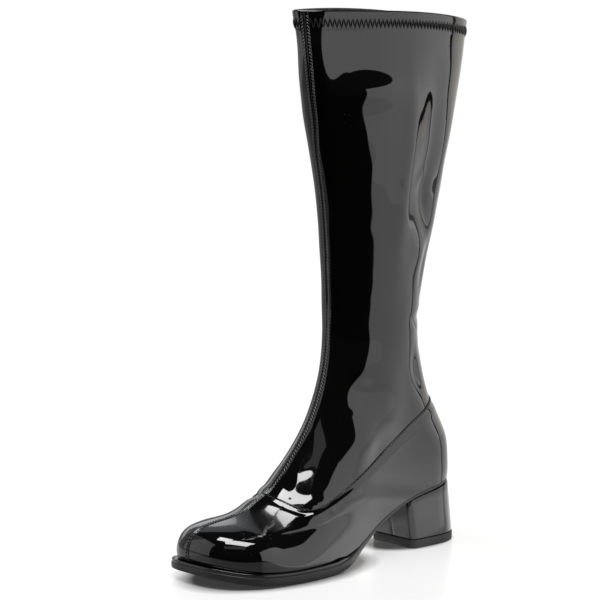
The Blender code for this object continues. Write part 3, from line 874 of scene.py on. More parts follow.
class BOOT_OT_upper(bpy.types.Operator):
    """Foot part: vamp and counter in one skin, its top edge lapped over the leg"""
    bl_idname = "boot.upper"
    bl_label = "Upper"

    def execute(self, context):
        sizes, colours = context.scene.boot_sizes, context.scene.boot_colours
        turn = turns(sizes)
        step = np.linalg.norm(slopes(turn, np.full_like(turn, EDGE_RING))[1], axis=-1)
        full, edge_lift = GAP + UPPER_WALL, GAP + EDGE_WALL
        rows, lifts = [], []
        crowded = EDGE_START + EDGE_SPAN * np.linspace(0, 1, 34)[1:] ** 0.8
        for ring in np.concatenate([np.linspace(0.0, EDGE_START, 118), crowded]):
            off = (SEAM_RING - ring) * step
            lift = full - (full - edge_lift) * (1 - ease(off / EDGE_TAPER))
            dent = STITCH_DENT[0] * bell(off, EDGE_STITCH, STITCH_DENT[1])
            rows.append(np.full_like(turn, ring))
            lifts.append(lift - dent)
        for a in np.linspace(0.0, math.pi / 2, 6):
            rows.append(SEAM_RING - EDGE_DROP + EDGE_ROUND * math.sin(a) / step)
            lifts.append(np.full_like(turn, edge_lift - EDGE_ROUND * (1 - math.cos(a))))
        outer = len(rows)
        for ring in np.linspace(SEAM_RING, 0.0, 42):
            rows.append(np.full_like(turn, ring))
            lifts.append(np.full_like(turn, GAP))
        level = np.array(rows)
        points = skin(turn[None, :], level, np.array(lifts), sizes.crease_depth)
        for row in (0, -1):
            points[row, :, 2] = feather(points[row, :, 0])
        piece = add_skin("upper_skin", turn, points, outer, colours)
        ring, ring_spread, side, side_spread = BALL_FLEX
        aside = np.degrees(np.minimum(turn, 2 * math.pi - turn))
        bent = bell(level, ring, ring_spread) * bell(aside, side, side_spread)[None, :]
        flex = piece.data.attributes.new("flex", "FLOAT", "POINT")
        flex.data.foreach_set("value", bent.ravel())
        settle(piece, "upper", "upper")
        return {"FINISHED"}


def hem_lift(down, sizes):
    """How far the folded hem stands out, by distance below the rim in millimetres."""
    start, fade = HEM_FADE
    lift = sizes.hem_raise / MM * (1 - ease((down - sizes.hem_height / MM + start) / fade))
    return lift + HEM_ROLL[0] * bell(down, HEM_ROLL[1], HEM_ROLL[1])


class BOOT_OT_shaft(bpy.types.Operator):
    """Leg part with the worn creases and the folded hem at the collar"""
    bl_idname = "boot.shaft"
    bl_label = "Shaft"

    def execute(self, context):
        sizes, colours = context.scene.boot_sizes, context.scene.boot_colours
        turn = turns(sizes)
        hem = sizes.hem_height / MM
        hem_ring = COLLAR_RING - (hem + HEM_ROWS[0]) / RING_HEIGHT
        down = np.linspace(hem + HEM_ROWS[1], RIM_ROUND + 0.4, 30)
        rows = np.concatenate([
            np.linspace(LAP_RING, SEAM_RING, 6)[:-1], np.linspace(SEAM_RING, hem_ring, 196),
            COLLAR_RING - down / RING_HEIGHT])
        folded = hem_lift((COLLAR_RING - rows) * RING_HEIGHT, sizes)
        lifts = np.where(rows > hem_ring, folded, 0.0)
        rim_out = float(hem_lift(RIM_ROUND, sizes))
        bend = np.linspace(0.0, math.pi, 13)
        rim_rows = COLLAR_RING - RIM_ROUND * (1 - np.sin(bend)) / RING_HEIGHT
        rim_lifts = rim_out - RIM_ROUND * (1 - np.cos(bend))
        inside = np.concatenate([
            COLLAR_RING - np.linspace(*HEM_INSIDE, 8) / RING_HEIGHT,
            np.linspace(hem_ring - 0.02, LAP_RING, 60)])
        inner_lift = np.where(inside > hem_ring, rim_out - 2 * RIM_ROUND, -SHAFT_WALL)
        outer = len(rows) + RIM_FILM
        rows = np.concatenate([rows, rim_rows, inside])
        lifts = np.concatenate([lifts, rim_lifts, inner_lift])
        points = skin(turn[None, :], rows[:, None], lifts[:, None], sizes.crease_depth)
        piece = add_skin("shaft_skin", turn, points, outer, colours)
        settle(piece, "shaft", "shaft")
        return {"FINISHED"}


# ---------------------------------------------------------------- front seam
PATH_POINTS = 4000        # fine points on a path round the boot
SEAM_POINTS = 1200        # fine points on the front line
SEAM_TURN = 14.0          # how far round a seam's edges are looked for, in degrees
TOE_RING_HEIGHT = 100.0   # millimetres per ring just below the lapped seam
BAND_ROWS = 0.5           # distance between a band's cross sections
BAND_COLUMNS = 25
BAND_FLAT = 6             # power of a band's rounding; the higher, the flatter its top
BAND_SHARP = 70.0
# Valleys across a band: place and spread in half widths, depth in heights
BAND_VALLEYS = ((0.60, 0.13, 0.34), (0.0, 0.075, 0.75))
BAND_PUCKER = (0.78, 0.25, 0.14)
BAND_TUCK = 0.25          # how far a band's edges and its underside sink in
BAND_UNDER = 0.45
UNDER_WIDTH = 0.6         # width of the underside, in widths of the band
# Rings between which the seams run, and between which they are sewn
FRONT_SPAN = (1.004, COLLAR_RING - 0.6 / RING_HEIGHT)
FRONT_SEWN = (1.02, COLLAR_RING - 2.2 / RING_HEIGHT)
TOE_SPAN = (0.05, 0.992)
TOE_SEWN = (0.09, 0.975)


def seam_rows(low, high, pitch):
    """Rings along the front line at even distances in millimetres, and the distances."""
    ring = np.linspace(low, high, SEAM_POINTS)
    travel = run(form(np.zeros_like(ring), ring))
    marks = np.arange(0.0, travel[-1], pitch)
    return np.interp(marks, travel, ring), marks


def beside(ring, across):
    """Turns that lie a distance in millimetres beside the front line, by ring and distance."""
    count = 113
    fine = np.radians(np.linspace(-SEAM_TURN, SEAM_TURN, count))
    at = form(fine[None, :], ring[:, None])
    step = np.linalg.norm(np.diff(at, axis=1), axis=-1)
    travel = np.concatenate([np.zeros((len(ring), 1)), np.cumsum(step, axis=1)], axis=1)
    travel = travel - travel[:, [count // 2]]
    return np.array([np.interp(across, row, fine) for row in travel])


def seam_base(ring, sizes):
    """Lift of the skin that the front seam lies on."""
    down = (COLLAR_RING - ring) * RING_HEIGHT
    leg = np.where(down < sizes.hem_height / MM + HEM_ROWS[1], hem_lift(down, sizes), 0.0)
    taper = 1 - ease((SEAM_RING - ring) * TOE_RING_HEIGHT / EDGE_TAPER)
    foot = GAP + UPPER_WALL - (UPPER_WALL - EDGE_WALL) * taper
    return np.where(ring < SEAM_RING, foot, leg)


def band_points(span, width, raise_by, sizes):
    """Closed cross sections of a seam band along the front line."""
    ring, travel = seam_rows(*span, BAND_ROWS)
    half = width / 2
    across = np.linspace(-1.0, 1.0, BAND_COLUMNS) * half
    x = np.abs(across / half)
    top = raise_by * (1 - x ** BAND_FLAT)
    for middle, spread, deep in BAND_VALLEYS:
        top = top - deep * raise_by * bell(x, middle, spread)
    middle, spread, deep = BAND_PUCKER
    pull = np.cos(2 * math.pi * travel[:, None] / (sizes.stitch_pitch / MM))
    base = seam_base(ring, sizes)[:, None]
    lift = base + top + deep * raise_by * pull * bell(x, middle, spread)
    lift[:, [0, -1]] -= BAND_TUCK
    turn = beside(ring, across)
    points = skin(turn, ring[:, None], lift, sizes.crease_depth)
    low_turn = turn[:, [-1, 0]] * UNDER_WIDTH
    under = skin(low_turn, ring[:, None], base - BAND_UNDER, sizes.crease_depth)
    return np.concatenate([points, under], axis=1)


def capped_faces(rows, count):
    """Faces of a closed strip and its two ends, from its cross sections."""
    faces = [list(f) for f in belt_faces(rows, count)]
    return faces + [list(range(count))[::-1], list(range((rows - 1) * count, rows * count))]


def add_band(name, points, material, slot):
    """A seam band from its cross sections."""
    faces = capped_faces(*points.shape[:2])
    return settle(add_piece(name, points, faces, (material,), BAND_SHARP), slot)


class BOOT_OT_seams(bpy.types.Operator):
    """Raised seam up the front of the leg and along the toe"""
    bl_idname = "boot.seams"
    bl_label = "Front and toe seams"

    def execute(self, context):
        sizes, colours = context.scene.boot_sizes, context.scene.boot_colours
        film = finish("black_patent", colours)
        front = band_points(FRONT_SPAN, sizes.band_width / MM, sizes.band_raise / MM, sizes)
        add_band("front_seam_band", front, film, "shaft")
        toe = band_points(TOE_SPAN, sizes.toe_band_width / MM, sizes.toe_band_raise / MM, sizes)
        add_band("toe_seam_band", toe, film, "upper")
        return {"FINISHED"}


# ---------------------------------------------------------------- stitches
STITCH_SOCKETS = (
    ("Stitch Length", "NodeSocketFloat", 0.0016), ("Thread", "NodeSocketFloat", 0.0005),
    ("Bow", "NodeSocketFloat", 0.0003), ("Unevenness", "NodeSocketFloat", 0.06),
    ("Seed", "NodeSocketInt", 7), ("Material", "NodeSocketMaterial", None))


def sewn_stitches(tree):
    """Geometry Nodes: one bowed stitch on every point, laid along its own direction."""
    face = tree.interface
    for way in ("INPUT", "OUTPUT"):
        face.new_socket(name="Geometry", in_out=way, socket_type="NodeSocketGeometry")
    for label, kind, default in STITCH_SOCKETS:
        made = face.new_socket(name=label, in_out="INPUT", socket_type=kind)
        if default is not None:
            made.default_value = default
    given = tree.nodes.new("NodeGroupInput").outputs
    end = tree.nodes.new("NodeGroupOutput")
    link = tree.links.new

    half = times(tree, given["Stitch Length"], 0.5)
    back = times(tree, given["Stitch Length"], -0.5)
    sunk = times(tree, given["Thread"], -0.75)
    arc = node(tree, "GeometryNodeCurveQuadraticBezier", Resolution=5)
    for socket, x, z in (("Start", back, sunk), ("Middle", 0.0, given["Bow"]), ("End", half, sunk)):
        point = node(tree, "ShaderNodeCombineXYZ")
        feed(tree, x, point.inputs[0])
        link(z, point.inputs[2])
        link(point.outputs[0], arc.inputs[socket])
    ring = node(tree, "GeometryNodeCurvePrimitiveCircle", Resolution=6)
    link(times(tree, given["Thread"], 0.5), ring.inputs["Radius"])
    tube = node(tree, "GeometryNodeCurveToMesh", Fill_Caps=True)
    link(arc.outputs[0], tube.inputs[0])
    link(ring.outputs[0], tube.inputs["Profile Curve"])

    lay = node(tree, "FunctionNodeAxesToRotation", primary_axis="Z", secondary_axis="X")
    for label, socket in (("square", "Primary Axis"), ("along", "Secondary Axis")):
        read = node(tree, "GeometryNodeInputNamedAttribute", data_type="FLOAT_VECTOR", Name=label)
        link(read.outputs["Attribute"], lay.inputs[socket])
    vary = node(tree, "FunctionNodeRandomValue", data_type="FLOAT")
    link(maths(tree, "SUBTRACT", 1.0, given["Unevenness"]), vary.inputs[2])
    link(add(tree, 1.0, given["Unevenness"]), vary.inputs[3])
    link(given["Seed"], vary.inputs["Seed"])
    points = node(tree, "GeometryNodeMeshToPoints")
    link(given["Geometry"], points.inputs["Mesh"])
    laid = node(tree, "GeometryNodeInstanceOnPoints")
    link(points.outputs[0], laid.inputs["Points"])
    link(tube.outputs[0], laid.inputs["Instance"])
    link(lay.outputs[0], laid.inputs["Rotation"])
    link(vary.outputs[1], laid.inputs["Scale"])
    real = node(tree, "GeometryNodeRealizeInstances")
    link(laid.outputs[0], real.inputs[0])
    smooth = node(tree, "GeometryNodeSetShadeSmooth")
    link(real.outputs[0], smooth.inputs[0])
    dress = node(tree, "GeometryNodeSetMaterial")
    link(smooth.outputs[0], dress.inputs["Geometry"])
    link(given["Material"], dress.inputs["Material"])
    link(dress.outputs[0], end.inputs[0])


def sew(name, points, along, square, span, bow, sizes, material, slot, heavy=1.0):
    """Stitches of one row or seam as a plain mesh piece; heavy thickens their thread."""
    mesh = bpy.data.meshes.new(name)
    mesh.from_pydata(to_frame(points).tolist(), [], [])
    for label, way in (("along", along), ("square", square)):
        turned = np.stack([way[:, 1], -way[:, 0], way[:, 2]], axis=-1)
        layer = mesh.attributes.new(label, "FLOAT_VECTOR", "POINT")
        layer.data.foreach_set("vector", unit(turned).astype(np.float32).ravel())
    thing = bpy.data.objects.new(name, mesh)
    bpy.context.scene.collection.objects.link(thing)
    sewing = thing.modifiers.new("stitches", "NODES")
    sewing.node_group = shared_tree("sewn_stitches", "GeometryNodeTree", sewn_stitches)
    values = {"Stitch Length": span, "Thread": heavy * sizes.thread, "Bow": bow,
              "Material": material}
    for item in sewing.node_group.interface.items_tree:
        if item.in_out == "INPUT" and item.name in values:
            sewing[item.identifier] = values[item.name]
    ready = thing.evaluated_get(bpy.context.evaluated_depsgraph_get())
    plain = bpy.data.meshes.new_from_object(ready)
    thing.modifiers.remove(sewing)
    thing.data = plain
    bpy.data.meshes.remove(mesh)
    plain.name = name
    if not len(plain.polygons):
        raise RuntimeError(f"{name} came out with no stitches")
    return settle(thing, slot)


ROW_PLACE = 0.33          # a row of stitches on a band, in its widths from the middle
ROW_HEIGHT = 0.72         # and in its heights
THREAD_SHOWS = 0.25       # height of a stitch's middle line above the skin, in threads
SEAM_CLEAR = 0.06         # turn either side of the front seam that the vamp's row leaves free
VAMP_ROW_LIFT = 0.30      # height of the vamp's row above the upper's inner face
HEM_PLAIN = 5.0           # plain strip between the rim and the zigzag
ZIGZAG_LIFT = (0.3, 0.12)  # the zigzag's height above the skin, in threads, and what is added
ROW_RING = 0.98           # ring where the distance per ring is measured for the vamp's row
# Stitch lengths in pitches, bows in threads, and weights of the thread
COVER_SHARE, TOE_SHARE, VAMP_SHARE, ZIGZAG_SHARE = 1.05, 0.8, 0.74, 1.02
FLAT_BOW, ZIGZAG_BOW = 0.5, 1.3
SEAM_WEIGHT, ZIGZAG_WEIGHT = 1.3, 1.6
COVER_SLANT = 40.0        # degrees


def sew_seam(name, span, width, raise_by, every, slant, share, yarn, slot, sizes):
    """Two rows of stitches along a seam band, slanted away from its middle."""
    ring, _ = seam_rows(*span, every)
    lift = seam_base(ring, sizes) + ROW_HEIGHT * raise_by + THREAD_SHOWS * (sizes.thread / MM)
    rows = []
    for side in (-1, 1):
        turn = beside(ring, np.array([side * ROW_PLACE * width]))[:, 0]
        points = skin(turn, ring, lift, sizes.crease_depth)
        square = outward(turn, ring)
        along = unit(np.gradient(points, axis=0))
        along = along * math.cos(slant) + np.cross(square, along) * math.sin(slant) * side
        rows.append((points, along, square))
    points, along, square = (np.concatenate(part) for part in zip(*rows))
    sew(name, points, along, square, share * every * MM, FLAT_BOW * sizes.thread, sizes, yarn,
        slot, SEAM_WEIGHT)


def sew_vamp_edge(sizes, yarn):
    """One row of stitches round the upper's top edge, clear of the front seam."""
    turn = np.linspace(0.0, 2 * math.pi, PATH_POINTS)
    step = np.linalg.norm(slopes(turn, np.full_like(turn, ROW_RING))[1], axis=-1)
    ring = SEAM_RING - EDGE_STITCH / step
    travel = run(form(turn, ring))
    marks = np.linspace(0.0, travel[-1], int(travel[-1] / (sizes.vamp_pitch / MM)) + 1)[:-1]
    turn, ring = np.interp(marks, travel, turn), np.interp(marks, travel, ring)
    clear = np.abs((turn + math.pi) % (2 * math.pi) - math.pi) > SEAM_CLEAR
    turn, ring = turn[clear], ring[clear]
    lift = GAP + VAMP_ROW_LIFT + THREAD_SHOWS * (sizes.thread / MM)
    points = skin(turn, ring, lift, sizes.crease_depth)
    sew("vamp_edge_stitches", points, unit(np.gradient(points, axis=0)), outward(turn, ring),
        VAMP_SHARE * sizes.vamp_pitch, FLAT_BOW * sizes.thread, sizes, yarn, "upper")


def sew_zigzag(sizes, yarn):
    """Zigzag round the hem: one stitch for each of its legs."""
    height = sizes.zigzag_height / MM
    middle = HEM_PLAIN + height / 2
    turn = np.linspace(0.0, 2 * math.pi, PATH_POINTS)
    travel = run(form(turn, np.full_like(turn, COLLAR_RING - middle / RING_HEIGHT)))
    legs = 2 * int(travel[-1] / (sizes.zigzag_pitch / MM))
    turn = np.interp(np.linspace(0.0, travel[-1], legs + 1), travel, turn)
    low = HEM_PLAIN + np.where(np.arange(legs + 1) % 2, height, 0.0)
    lift = hem_lift(low, sizes) + ZIGZAG_LIFT[0] * (sizes.thread / MM)
    tips = skin(turn, COLLAR_RING - low / RING_HEIGHT, lift, sizes.crease_depth)
    between = (turn[1:] + turn[:-1]) / 2
    square = outward(between, COLLAR_RING - np.full_like(between, middle) / RING_HEIGHT)
    points = (tips[1:] + tips[:-1]) / 2 + square * ZIGZAG_LIFT[1]
    span = float(np.linalg.norm(tips[1:] - tips[:-1], axis=-1).mean())
    sew("hem_zigzag", points, unit(tips[1:] - tips[:-1]), square,
        ZIGZAG_SHARE * span * MM, ZIGZAG_BOW * sizes.thread, sizes, yarn, "shaft", ZIGZAG_WEIGHT)


class BOOT_OT_stitches(bpy.types.Operator):
    """Sewn rows: front seam, toe seam, vamp edge and the zigzag at the hem"""
    bl_idname = "boot.stitches"
    bl_label = "Stitches"

    def execute(self, context):
        sizes, colours = context.scene.boot_sizes, context.scene.boot_colours
        # the cover thread's pale grey colour is a painted highlight
        thread, cover = finish("sewing_thread", colours), finish("cover_thread_painted_sheen", colours)
        sew_seam("front_seam_stitches", FRONT_SEWN,
                 sizes.band_width / MM, sizes.band_raise / MM, sizes.cover_pitch / MM,
                 math.radians(COVER_SLANT), COVER_SHARE, cover, "shaft", sizes)
        sew_seam("toe_seam_stitches", TOE_SEWN,
                 sizes.toe_band_width / MM, sizes.toe_band_raise / MM, sizes.stitch_pitch / MM,
                 0.0, TOE_SHARE, thread, "upper", sizes)
        sew_vamp_edge(sizes, thread)
        sew_zigzag(sizes, thread)
        return {"FINISHED"}


# ---------------------------------------------------------------- sole and heel
SOLE_UNDER_ROUND = 0.8
SOLE_TOP_ROUND = 0.6
SOLE_SHARP = 50.0
TREAD_ROWS = 4            # bands of the outsole's section that belong to its underside
WELT_TAPER = 16.0         # length over which the welt's ends rise
WELT_ENDS = 0.12          # share of its height that is left at the ends
WELT_TUCK = 0.45          # how far its outer face stays inside the outsole's edge
WELT_SUNK = 0.15          # how far it sinks into the outsole
WELT_SHARP = 55.0
HEEL_SHARP = 45.0
HEEL_GAP = 0.05           # gap above and below the heel's cover
COVER_JOINT = 1.0         # depth of the cover's joint in the breast

# Heel's cover: level from foot to seat, and how far it lies inside the block
COVER_ROWS = (
    (0.0, 0.9), (0.008, 0.45), (0.016, 0.15), (0.03, 0.0), (0.2, 0.0), (0.4, 0.0), (0.6, 0.0),
    (0.8, 0.0), (0.95, 0.0), (0.968, 0.12), (0.979, 0.45), (0.984, 1.0), (0.988, 2.2), (1.0, 2.4))
# Top piece: how far it stands out past the block's foot, and height
LIFT_ROWS = (
    (-0.7, 0.0), (-0.25, 0.06), (0.05, 0.3), (0.2, 0.8), (0.22, 3.0), (0.2, 5.3), (0.08, 5.75),
    (-0.2, 5.95), (-0.8, TOP_PIECE_THICK))
# Insole: how far it lies inside its edge, and height
SOCK_ROWS = ((1.0, 0.0), (0.0, 0.35), (0.0, 1.5), (0.3, 1.85), (1.2, 2.0), (4.0, 1.9))


def level_outward(turn):
    """The sole's outline at turns round it, and level unit vectors square to it."""
    rings = np.zeros_like(turn)
    n = outward(turn, rings)
    n[:, 2] = 0.0
    return form(turn, rings), unit(n)


def plan_row(turn, margin, height):
    """The sole's outline, moved out by a margin and set to a height over s."""
    flat, n = level_outward(turn)
    row = flat + n * margin(flat[:, 0])[:, None]
    row[:, 2] = height(row[:, 0])
    return row


class BOOT_OT_outsole(bpy.types.Operator):
    """Outsole with arch, toe spring, rounded edges and a dull underside"""
    bl_idname = "boot.outsole"
    bl_label = "Outsole"

    def execute(self, context):
        sizes, colours = context.scene.boot_sizes, context.scene.boot_colours
        turn = turns(sizes)
        # section: how far out, share of the thickness, and height added to it
        low, high = SOLE_UNDER_ROUND, SOLE_TOP_ROUND
        profile = [(-6.0, 0.0, 0.0), (-2.2, 0.0, 0.0), (-0.85, 0.0, 0.0)]
        profile += [(-low + low * math.sin(a), 0.0, low - low * math.cos(a))
                    for a in np.linspace(0.1, math.pi / 2, 6)]
        profile += [(0.10, 0.3, 0.45), (0.14, 0.5, 0.0), (0.08, 0.7, -0.3)]
        profile += [(-high + high * math.cos(a), 1.0, -high + high * math.sin(a))
                    for a in np.linspace(0.0, math.pi / 2, 6)]
        profile += [(-2.0, 1.0, 0.0)]

        def height(s):
            """Height of the section's present point over s."""
            thin = np.clip(SOLE_THICK(s) / 4.0, 0.5, 1.0)
            return SOLE_UNDER(s) + share * SOLE_THICK(s) + up * thin

        rows = []
        for out, share, up in profile:
            rows.append(plan_row(turn, lambda s: SOLE_MARGIN(s) + out, height))
        count = len(turn)
        faces = stack_faces(len(rows), count)
        which = np.zeros(len(faces), int)
        which[:count // 2 + TREAD_ROWS * count] = 1
        materials = finish("outsole_satin", colours), finish("tread_rubber", colours)
        piece = add_piece("outsole_body", np.array(rows), faces, materials, SOLE_SHARP, which)
        settle(piece, "outsole", "outsole")
        return {"FINISHED"}


class BOOT_OT_welt(bpy.types.Operator):
    """Glossy lip round the forefoot, tapered into the outsole at its ends"""
    bl_idname = "boot.welt"
    bl_label = "Welt"

    def execute(self, context):
        colours = context.scene.boot_colours
        fine = np.linspace(-2.2, 2.2, 2400)
        path = form(fine, np.zeros_like(fine))
        ahead = path[:, 0] > WELT_END
        travel = run(path[ahead])
        marks = np.linspace(0.0, travel[-1], 330)
        turn = np.interp(marks, travel, fine[ahead])
        flat, n = level_outward(turn)
        ends = np.minimum(marks, travel[-1] - marks)
        tall = WELT_ENDS + (1 - WELT_ENDS) * ease(ends / WELT_TAPER)
        inner = GAP + UPPER_WALL + WELT_GROOVE
        wide = SOLE_MARGIN(flat[:, 0]) - WELT_TUCK - inner
        # section: shares of the width and of the height
        section = [(0.0, 0.0), (1.0, 0.0)]
        section += [(0.86 + 0.2 * math.cos(a), 0.52 + 0.48 * math.sin(a))
                    for a in np.linspace(-1.1, math.pi / 2, 10)]
        section += [(0.5, 0.97), (0.2, 0.86), (0.04, 0.62)]
        points = np.zeros((len(turn), len(section), 3))
        for k, (out, up) in enumerate(section):
            place = flat + n * (inner + out * wide * (0.55 + 0.45 * tall))[:, None]
            rise = up * (WELT_HEIGHT + 2 * WELT_SUNK) * tall
            place[:, 2] = sole_top(place[:, 0]) - WELT_SUNK + rise
            points[:, k] = place
        faces = [face[::-1] for face in capped_faces(*points.shape[:2])]
        piece = add_piece("welt_lip", points, faces, (finish("welt_gloss", colours),), WELT_SHARP)
        settle(piece, "welt", "welt")
        return {"FINISHED"}


def heel_line(level, margin, groove):
    """D-shaped outline of the heel, with the cover's joint in the middle of the breast."""
    back = HEEL_BACK[0] + level * (HEEL_BACK[1] - HEEL_BACK[0]) - margin
    breast = HEEL_BREAST[0] + level * (HEEL_BREAST[1] - HEEL_BREAST[0]) + margin
    half = HEEL_HALF[0] + level * (HEEL_HALF[1] - HEEL_HALF[0]) + margin
    joint = ((1.0, 0.0), (0.7, 0.3), (0.15, 0.55), (0.0, 0.9))
    side = [(breast - share * groove, q) for share, q in joint]
    side += [(breast, q) for q in np.linspace(3.0, half - HEEL_CORNER, 6)[:-1]]
    for a in np.linspace(0.0, math.pi / 2, 12):
        side.append((breast - HEEL_CORNER * (1 - math.cos(a)),
                     half - HEEL_CORNER * (1 - math.sin(a))))
    centre = back + HEEL_BACK_CURVE
    side += [(s, half) for s in np.linspace(breast - HEEL_CORNER, centre, 5)[1:-1]]
    for a in np.linspace(0.0, math.pi / 2, 40)[:-1]:
        side.append((centre - HEEL_BACK_CURVE * math.sin(a), half * math.cos(a) ** 0.92))
    side.append((back, 0.0))
    return np.array(side + [(s, -q) for s, q in side[-2:0:-1]])


def add_stack(name, rows, material, sharp, uv=None):
    """A full solid from its rows of points, from its underside to its top."""
    points = np.array(rows)
    return add_piece(name, points, stack_faces(*points.shape[:2]), (material,), sharp, uv=uv)


class BOOT_OT_heel(bpy.types.Operator):
    """Covered block heel and the rubber top piece under it"""
    bl_idname = "boot.heel"
    bl_label = "Heel"

    def execute(self, context):
        colours = context.scene.boot_colours
        foot = TOP_PIECE_THICK + HEEL_GAP
        rows = []
        for level, inset in COVER_ROWS:
            line = heel_line(level, -inset, COVER_JOINT)
            z = foot + level * (SOLE_UNDER(line[:, 0]) - HEEL_GAP - foot)
            rows.append(np.column_stack([line, z]))
        piece = add_stack("heel_cover", rows, finish("heel_patent", colours), HEEL_SHARP)
        settle(piece, "heel_block", "heel_block")
        rows = []
        for margin, z in LIFT_ROWS:
            line = heel_line(0.0, margin, 0.0)
            rows.append(np.column_stack([line, np.full(len(line), z)]))
        piece = add_stack("top_lift", rows, finish("lift_rubber", colours), SOLE_SHARP)
        settle(piece, "heel_top_piece", "heel_top_piece")
        return {"FINISHED"}


class BOOT_OT_insole(bpy.types.Operator):
    """Cloth sock that closes the inside over the sole"""
    bl_idname = "boot.insole"
    bl_label = "Insole"

    def execute(self, context):
        sizes, colours = context.scene.boot_sizes, context.scene.boot_colours
        turn = turns(sizes)
        rows = []
        for inset, up in SOCK_ROWS:
            rows.append(plan_row(turn, lambda s: np.full_like(s, -INSOLE_INSET - inset),
                                 lambda s: sole_top(s) + GAP + up))
        uv = np.array(rows)[..., :2] * MM
        piece = add_stack("insole_sock", rows, finish("sock_cloth", colours), SOLE_SHARP, uv)
        settle(piece, "insole", "insole")
        return {"FINISHED"}


# ---------------------------------------------------------------- stage
WHITE = (1.0, 1.0, 1.0)
COOL = (0.95, 0.97, 1.0)
COLD = (0.88, 0.93, 1.0)
WARM = (1.0, 0.955, 0.90)
OVERHEAD = 1.55           # height of the panels above the boot
OVERHEAD_LEAN = -15.0     # and their turn, in degrees
OVERHEAD_BRIGHT = 9.0
SURROUND = (0.008, 0.008, 0.008, 1.0)

# Floor: half the side of its glossy middle, its place, and its gloss
GLOSSY_HALF = 0.36
FLOOR_Z = -0.0002
FLOOR_GLOSS = 0.35
# Distances from the boot over which the floor changes, in metres
FLOOR_FADES = (0.22, 0.42)
FLOOR_DULLS = (0.18, 0.36)
GLOW_GROWS = (0.10, 0.24)
WHITE_GROWS = (0.12, 0.38)
SOFT_LINE = 0.01
GLOW_RIGHT_END = (1.195, 1.2)
GLOW_BACK_END = (-1.5, -1.49)
GLOW_OVERLAP = 3.5        # degrees that the right glow stops before the back one
# Parts of the sole that rest on the floor: middle, half size, and reach of the painted contact
# shade round them
RESTS = (((0.005, -0.052), (0.0400, 0.066), 1.2), ((-0.003, 0.070), (0.0215, 0.030), 1.3))


def panel(name, middle, facing, across, size, brightness, tint):
    """A studio panel of an even brightness; across is the way its width runs."""
    light = bpy.data.lights.new(name, "AREA")
    light.shape = "RECTANGLE"
    light.size, light.size_y = size
    light.color = tint
    light.energy = brightness * math.pi * size[0] * size[1]
    thing = bpy.data.objects.new(name, light)
    thing.location = middle
    back = -facing.normalized()
    thing.rotation_euler = Matrix((across, back.cross(across), back)).transposed().to_euler()
    thing.visible_camera = False
    bpy.context.scene.collection.objects.link(thing)


def floor_sheet(stage, toward, right, name, gloss):
    """Floor that is pale round the boot, white to the camera with painted contact shade under the
    sole, and with a painted glow at its sides and back that the camera doesn't see.
    """
    material = bpy.data.materials.new(name)
    material.use_nodes = True
    tree = material.node_tree
    shader = tree.nodes["Principled BSDF"]
    shader.inputs["Specular IOR Level"].default_value = gloss
    shader.inputs["Emission Strength"].default_value = 1.0
    place = node(tree, "ShaderNodeTexCoord").outputs["Object"]
    far = vector_maths(tree, "LENGTH", place)

    def along(way):
        """Distance from the boot along a level direction."""
        return vector_maths(tree, "DOT_PRODUCT", place, tuple(way))

    def beyond(degrees, brightness, sense):
        """Brightness on one side of a line through the boot, turned from the camera."""
        turn = math.radians(degrees)
        square = (right * math.cos(turn) - toward * math.sin(turn)) * sense
        return ranged(tree, along(square), -SOFT_LINE, SOFT_LINE, 0.0, brightness)

    def clear_of(middle, half, reach):
        """Share of the floor's light that is left round one resting part of the sole, as painted
        contact shade.
        """
        apart = vector_maths(tree, "SUBTRACT", place, (*middle, 0.0))
        share = vector_maths(tree, "DIVIDE", apart, (*half, 1.0))
        return ranged(tree, vector_maths(tree, "LENGTH", share), 0.97, reach, 0.06, 1.0)

    pale = ranged(tree, far, *FLOOR_FADES, stage.floor[0], 0.0)
    tree.links.new(pale, shader.inputs["Base Color"])
    tree.links.new(ranged(tree, far, *FLOOR_DULLS, 0.28, 1.0), shader.inputs["Roughness"])
    aside = along(right)
    lit, bright = stage.lit_from, stage.side_glow
    # painted glow: the floor shines at its sides and back for every ray but the camera's
    glow = times(tree, beyond(lit[0], bright[0], 1), ranged(tree, aside, *GLOW_RIGHT_END, 1.0, 0.0))
    glow = maths(tree, "SUBTRACT", glow, beyond(lit[2] - GLOW_OVERLAP, 1.0, 1))
    glow = maths(tree, "MAXIMUM", glow, beyond(lit[2], bright[2], 1))
    glow = times(tree, glow, ranged(tree, aside, -SOFT_LINE, SOFT_LINE))
    glow = maths(tree, "MAXIMUM", glow, beyond(lit[1], bright[1], -1))
    glow = times(tree, glow, ranged(tree, far, *GLOW_GROWS, 0.86, 1.0))
    glow = times(tree, glow, ranged(tree, along(toward), *GLOW_BACK_END))
    seen = node(tree, "ShaderNodeLightPath").outputs["Is Camera Ray"]
    glow = times(tree, glow, maths(tree, "SUBTRACT", 1.0, seen))
    white = times(tree, ranged(tree, far, *WHITE_GROWS, 0.62, 1.0), seen)
    # painted contact shade: the camera's white is dimmed round each resting part of the sole
    for rest in RESTS:
        white = times(tree, white, clear_of(*rest))
    white = times(tree, white, stage.floor_glow)
    tree.links.new(maths(tree, "MAXIMUM", glow, white), shader.inputs["Emission Color"])
    return material


